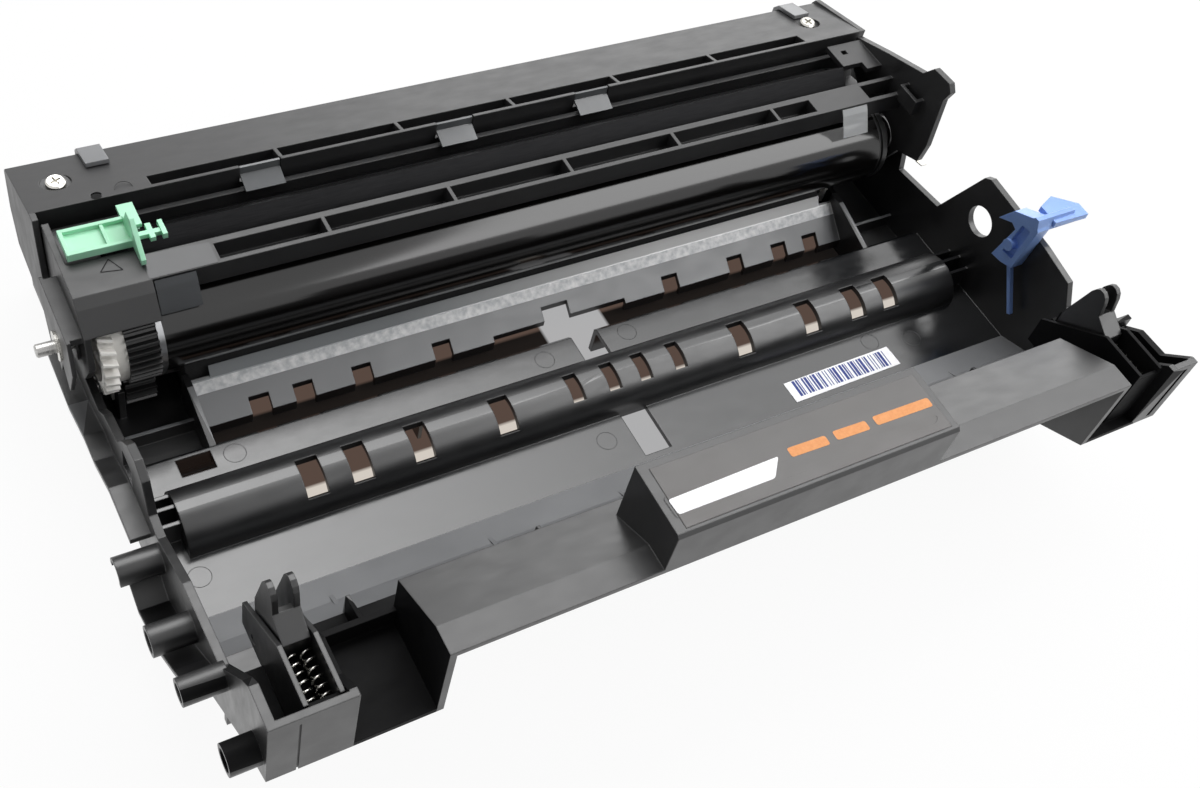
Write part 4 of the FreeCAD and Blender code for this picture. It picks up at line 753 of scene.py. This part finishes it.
def footprint(tree, where):
    """1 under the unit and 0 outside it, with a soft edge, from the floor's coordinates."""
    parts = add(tree, "ShaderNodeSeparateXYZ", {"Vector": where})
    sides = []
    for axis, centre, half in (("X", UNIT_MIDDLE.x, UNIT_HALF[0]),
                               ("Y", UNIT_MIDDLE.y, UNIT_HALF[1])):
        shifted = add(tree, "ShaderNodeMath", {0: parts.outputs[axis], 1: centre},
                      operation="SUBTRACT")
        away = add(tree, "ShaderNodeMath", {0: shifted.outputs[0]}, operation="ABSOLUTE")
        sides.append(add(tree, "ShaderNodeMath", {0: away.outputs[0], 1: half},
                         operation="SUBTRACT").outputs[0])
    outside = add(tree, "ShaderNodeMath", {0: sides[0], 1: sides[1]}, operation="MAXIMUM")
    return add(tree, "ShaderNodeMapRange", {
        "Value": outside.outputs[0], "From Min": -0.003, "From Max": 0.001,
        "To Min": 1.0, "To Max": 0.0}).outputs["Result"]


def band(tree, value, low, high, soft=0.0006):
    """1 where value lies between low and high, 0 elsewhere, with soft edges."""
    rise = add(tree, "ShaderNodeMapRange", {
        "Value": value, "From Min": low - soft, "From Max": low + soft})
    fall = add(tree, "ShaderNodeMapRange", {
        "Value": value, "From Min": high - soft, "From Max": high + soft,
        "To Min": 1.0, "To Max": 0.0})
    return add(tree, "ShaderNodeMath", {0: rise.outputs["Result"], 1: fall.outputs["Result"]},
               operation="MULTIPLY").outputs[0]


def over(tree, factor, below, colour):
    """Lays a hex colour over another one where factor is 1."""
    mix = add(tree, "ShaderNodeMix", {"Factor": factor, 6: below, 7: linear(colour)},
              data_type="RGBA")
    return mix.outputs[2]


print("ground shade reaches", [round(2 * half, 3) for half in UNIT_HALF], "m")

# %% Ground material
# Spans in millimetres of the painted shade and light on the ground: a near-black painted shadow in
# the paper gap, a pale strip of painted light below the beam's windows, the band of the beam's
# painted shade, and pale grey painted half-shade in the centre gap across the unit.
PAPER_GAP, WINDOW_STRIP, BEAM_SHADE, CENTRE_GAP = (17, 25.6), (-14, -5.6), (-14, 5.5), (-9, 15)
SEEN_SHARE = 0.94

ground_white, tree, shader, where = start("studio_floor", "E6E6E6", 0.7)
under = footprint(tree, where)
# Painted shade: the floor's own colour turns warm brown under the unit.
tint(tree, shader, under, "E6E6E6", "6E5C52")
parts = add(tree, "ShaderNodeSeparateXYZ", {"Vector": where})
across, deep = parts.outputs["X"], parts.outputs["Y"]


def strip_in_depth(span):
    """Band along the unit between two distances from front to back, in millimetres."""
    return band(tree, deep, place(0, span[0], 0).y, place(0, span[1], 0).y)


painted_shadow_in_paper_gap = strip_in_depth(PAPER_GAP)
painted_light_below_windows = strip_in_depth(WINDOW_STRIP)
past_beam = add(tree, "ShaderNodeMath", {0: 1.0, 1: strip_in_depth(BEAM_SHADE)},
                operation="SUBTRACT")
painted_half_shade_in_gap = add(tree, "ShaderNodeMath", {
    0: band(tree, across, place(CENTRE_GAP[0], 0, 0).x, place(CENTRE_GAP[1], 0, 0).x),
    1: past_beam.outputs[0]}, operation="MULTIPLY")
# Painted shade and light seen under the unit: warm brown painted shade, a near-black painted
# shadow in the paper gap, a pale strip of painted light below the windows and pale grey painted
# half-shade in the centre gap.
painted_light_and_shade_below = over(tree, painted_shadow_in_paper_gap, linear("5A4A42"), "161413")
painted_light_and_shade_below = over(tree, painted_light_below_windows, painted_light_and_shade_below, "D8D0C6")
painted_light_and_shade_below = over(tree, painted_half_shade_in_gap.outputs[0], painted_light_and_shade_below, "B2B2B3")
ground_with_painted_shade = add(tree, "ShaderNodeMix", {"Factor": under, 6: (1, 1, 1, 1), 7: painted_light_and_shade_below},
                  data_type="RGBA")
glow = add(tree, "ShaderNodeEmission", {"Color": ground_with_painted_shade.outputs[2], "Strength": 1.0})
share = add(tree, "ShaderNodeMath", {0: straight_rays(tree), 1: SEEN_SHARE},
            operation="MULTIPLY")
blend = add(tree, "ShaderNodeMixShader", {
    0: share.outputs[0], 1: shader.outputs[0], 2: glow.outputs[0]})
tree.links.new(blend.outputs[0], tree.nodes["Material Output"].inputs["Surface"])
print("ground material:", ground_white.name)

# %% [markdown]
# ## Floor
# The floor is one large plain face just under the unit. It keeps the unit's
# shadow, because a small share of what the camera sees of it is its own lit
# surface.

# %% Floor
FLOOR_HALF, FLOOR_DROP = 4, 0.0002
ground = bpy.data.meshes.new("studio_floor")
ground.from_pydata([(-FLOOR_HALF, -FLOOR_HALF, 0), (FLOOR_HALF, -FLOOR_HALF, 0),
                    (FLOOR_HALF, FLOOR_HALF, 0), (-FLOOR_HALF, FLOOR_HALF, 0)],
                   [], [(0, 1, 2, 3)])
ground.materials.append(ground_white)
floor = bpy.data.objects.new("studio_floor", ground)
floor.location.z = -FLOOR_DROP
bpy.context.scene.collection.objects.link(floor)
print("floor", 2 * FLOOR_HALF, "m wide")

# %% [markdown]
# ## Lamps
# Black plastic shows what it mirrors, so the lamps are large: a soft box over
# and behind the unit, which fades to the right as the bay floor does, one over
# its front for the drum, a low panel behind for the sloping face of the handle,
# and a weak fill at the left.

# %% Lamps
FADE_FROM, FADE_TO = 0.25, 0.65


def soft_box(name, spot, target, width, height, radiance, fade=1.0):
    """A rectangular lamp that faces target; fade is what is left of it at its +X side."""
    lamp = bpy.data.lights.new(name, "AREA")
    lamp.shape = "RECTANGLE"
    lamp.size, lamp.size_y = width, height
    lamp.energy = radiance * width * height * math.pi
    lamp.use_nodes = True
    inside = lamp.node_tree
    place_on_lamp = add(inside, "ShaderNodeNewGeometry").outputs["Parametric"]
    sideways = add(inside, "ShaderNodeSeparateXYZ", {"Vector": place_on_lamp}).outputs["X"]
    level = add(inside, "ShaderNodeMapRange", {
        "Value": sideways, "From Min": FADE_FROM, "From Max": FADE_TO,
        "To Min": 1.0, "To Max": fade})
    inside.links.new(level.outputs["Result"], inside.nodes["Emission"].inputs["Strength"])
    made = bpy.data.objects.new(name, lamp)
    made.location = spot
    aim = Vector(target) - Vector(spot)
    if aim.xy.length > 0.01:
        made.rotation_euler = aim.to_track_quat("-Z", "Y").to_euler()
    bpy.context.scene.collection.objects.link(made)
    return made


soft_box("rear_overhead_box", (0.50, 0.82, 1.20), (0.50, 0.82, 0.0), 1.7, 1.3, 4.6, 0.30)
soft_box("front_overhead_box", (1.05, -0.42, 1.10), (1.05, -0.42, 0.0), 1.3, 1.5, 3.6)
soft_box("back_panel", (1.40, 1.30, 0.40), (0.0, 0.0, 0.06), 2.4, 0.9, 2.1)
soft_box("left_fill", (-1.6, -0.5, 0.5), (0.0, 0.0, 0.03), 0.8, 0.8, 1.0)
bpy.context.scene.view_settings.view_transform = "Standard"
print("four soft boxes")
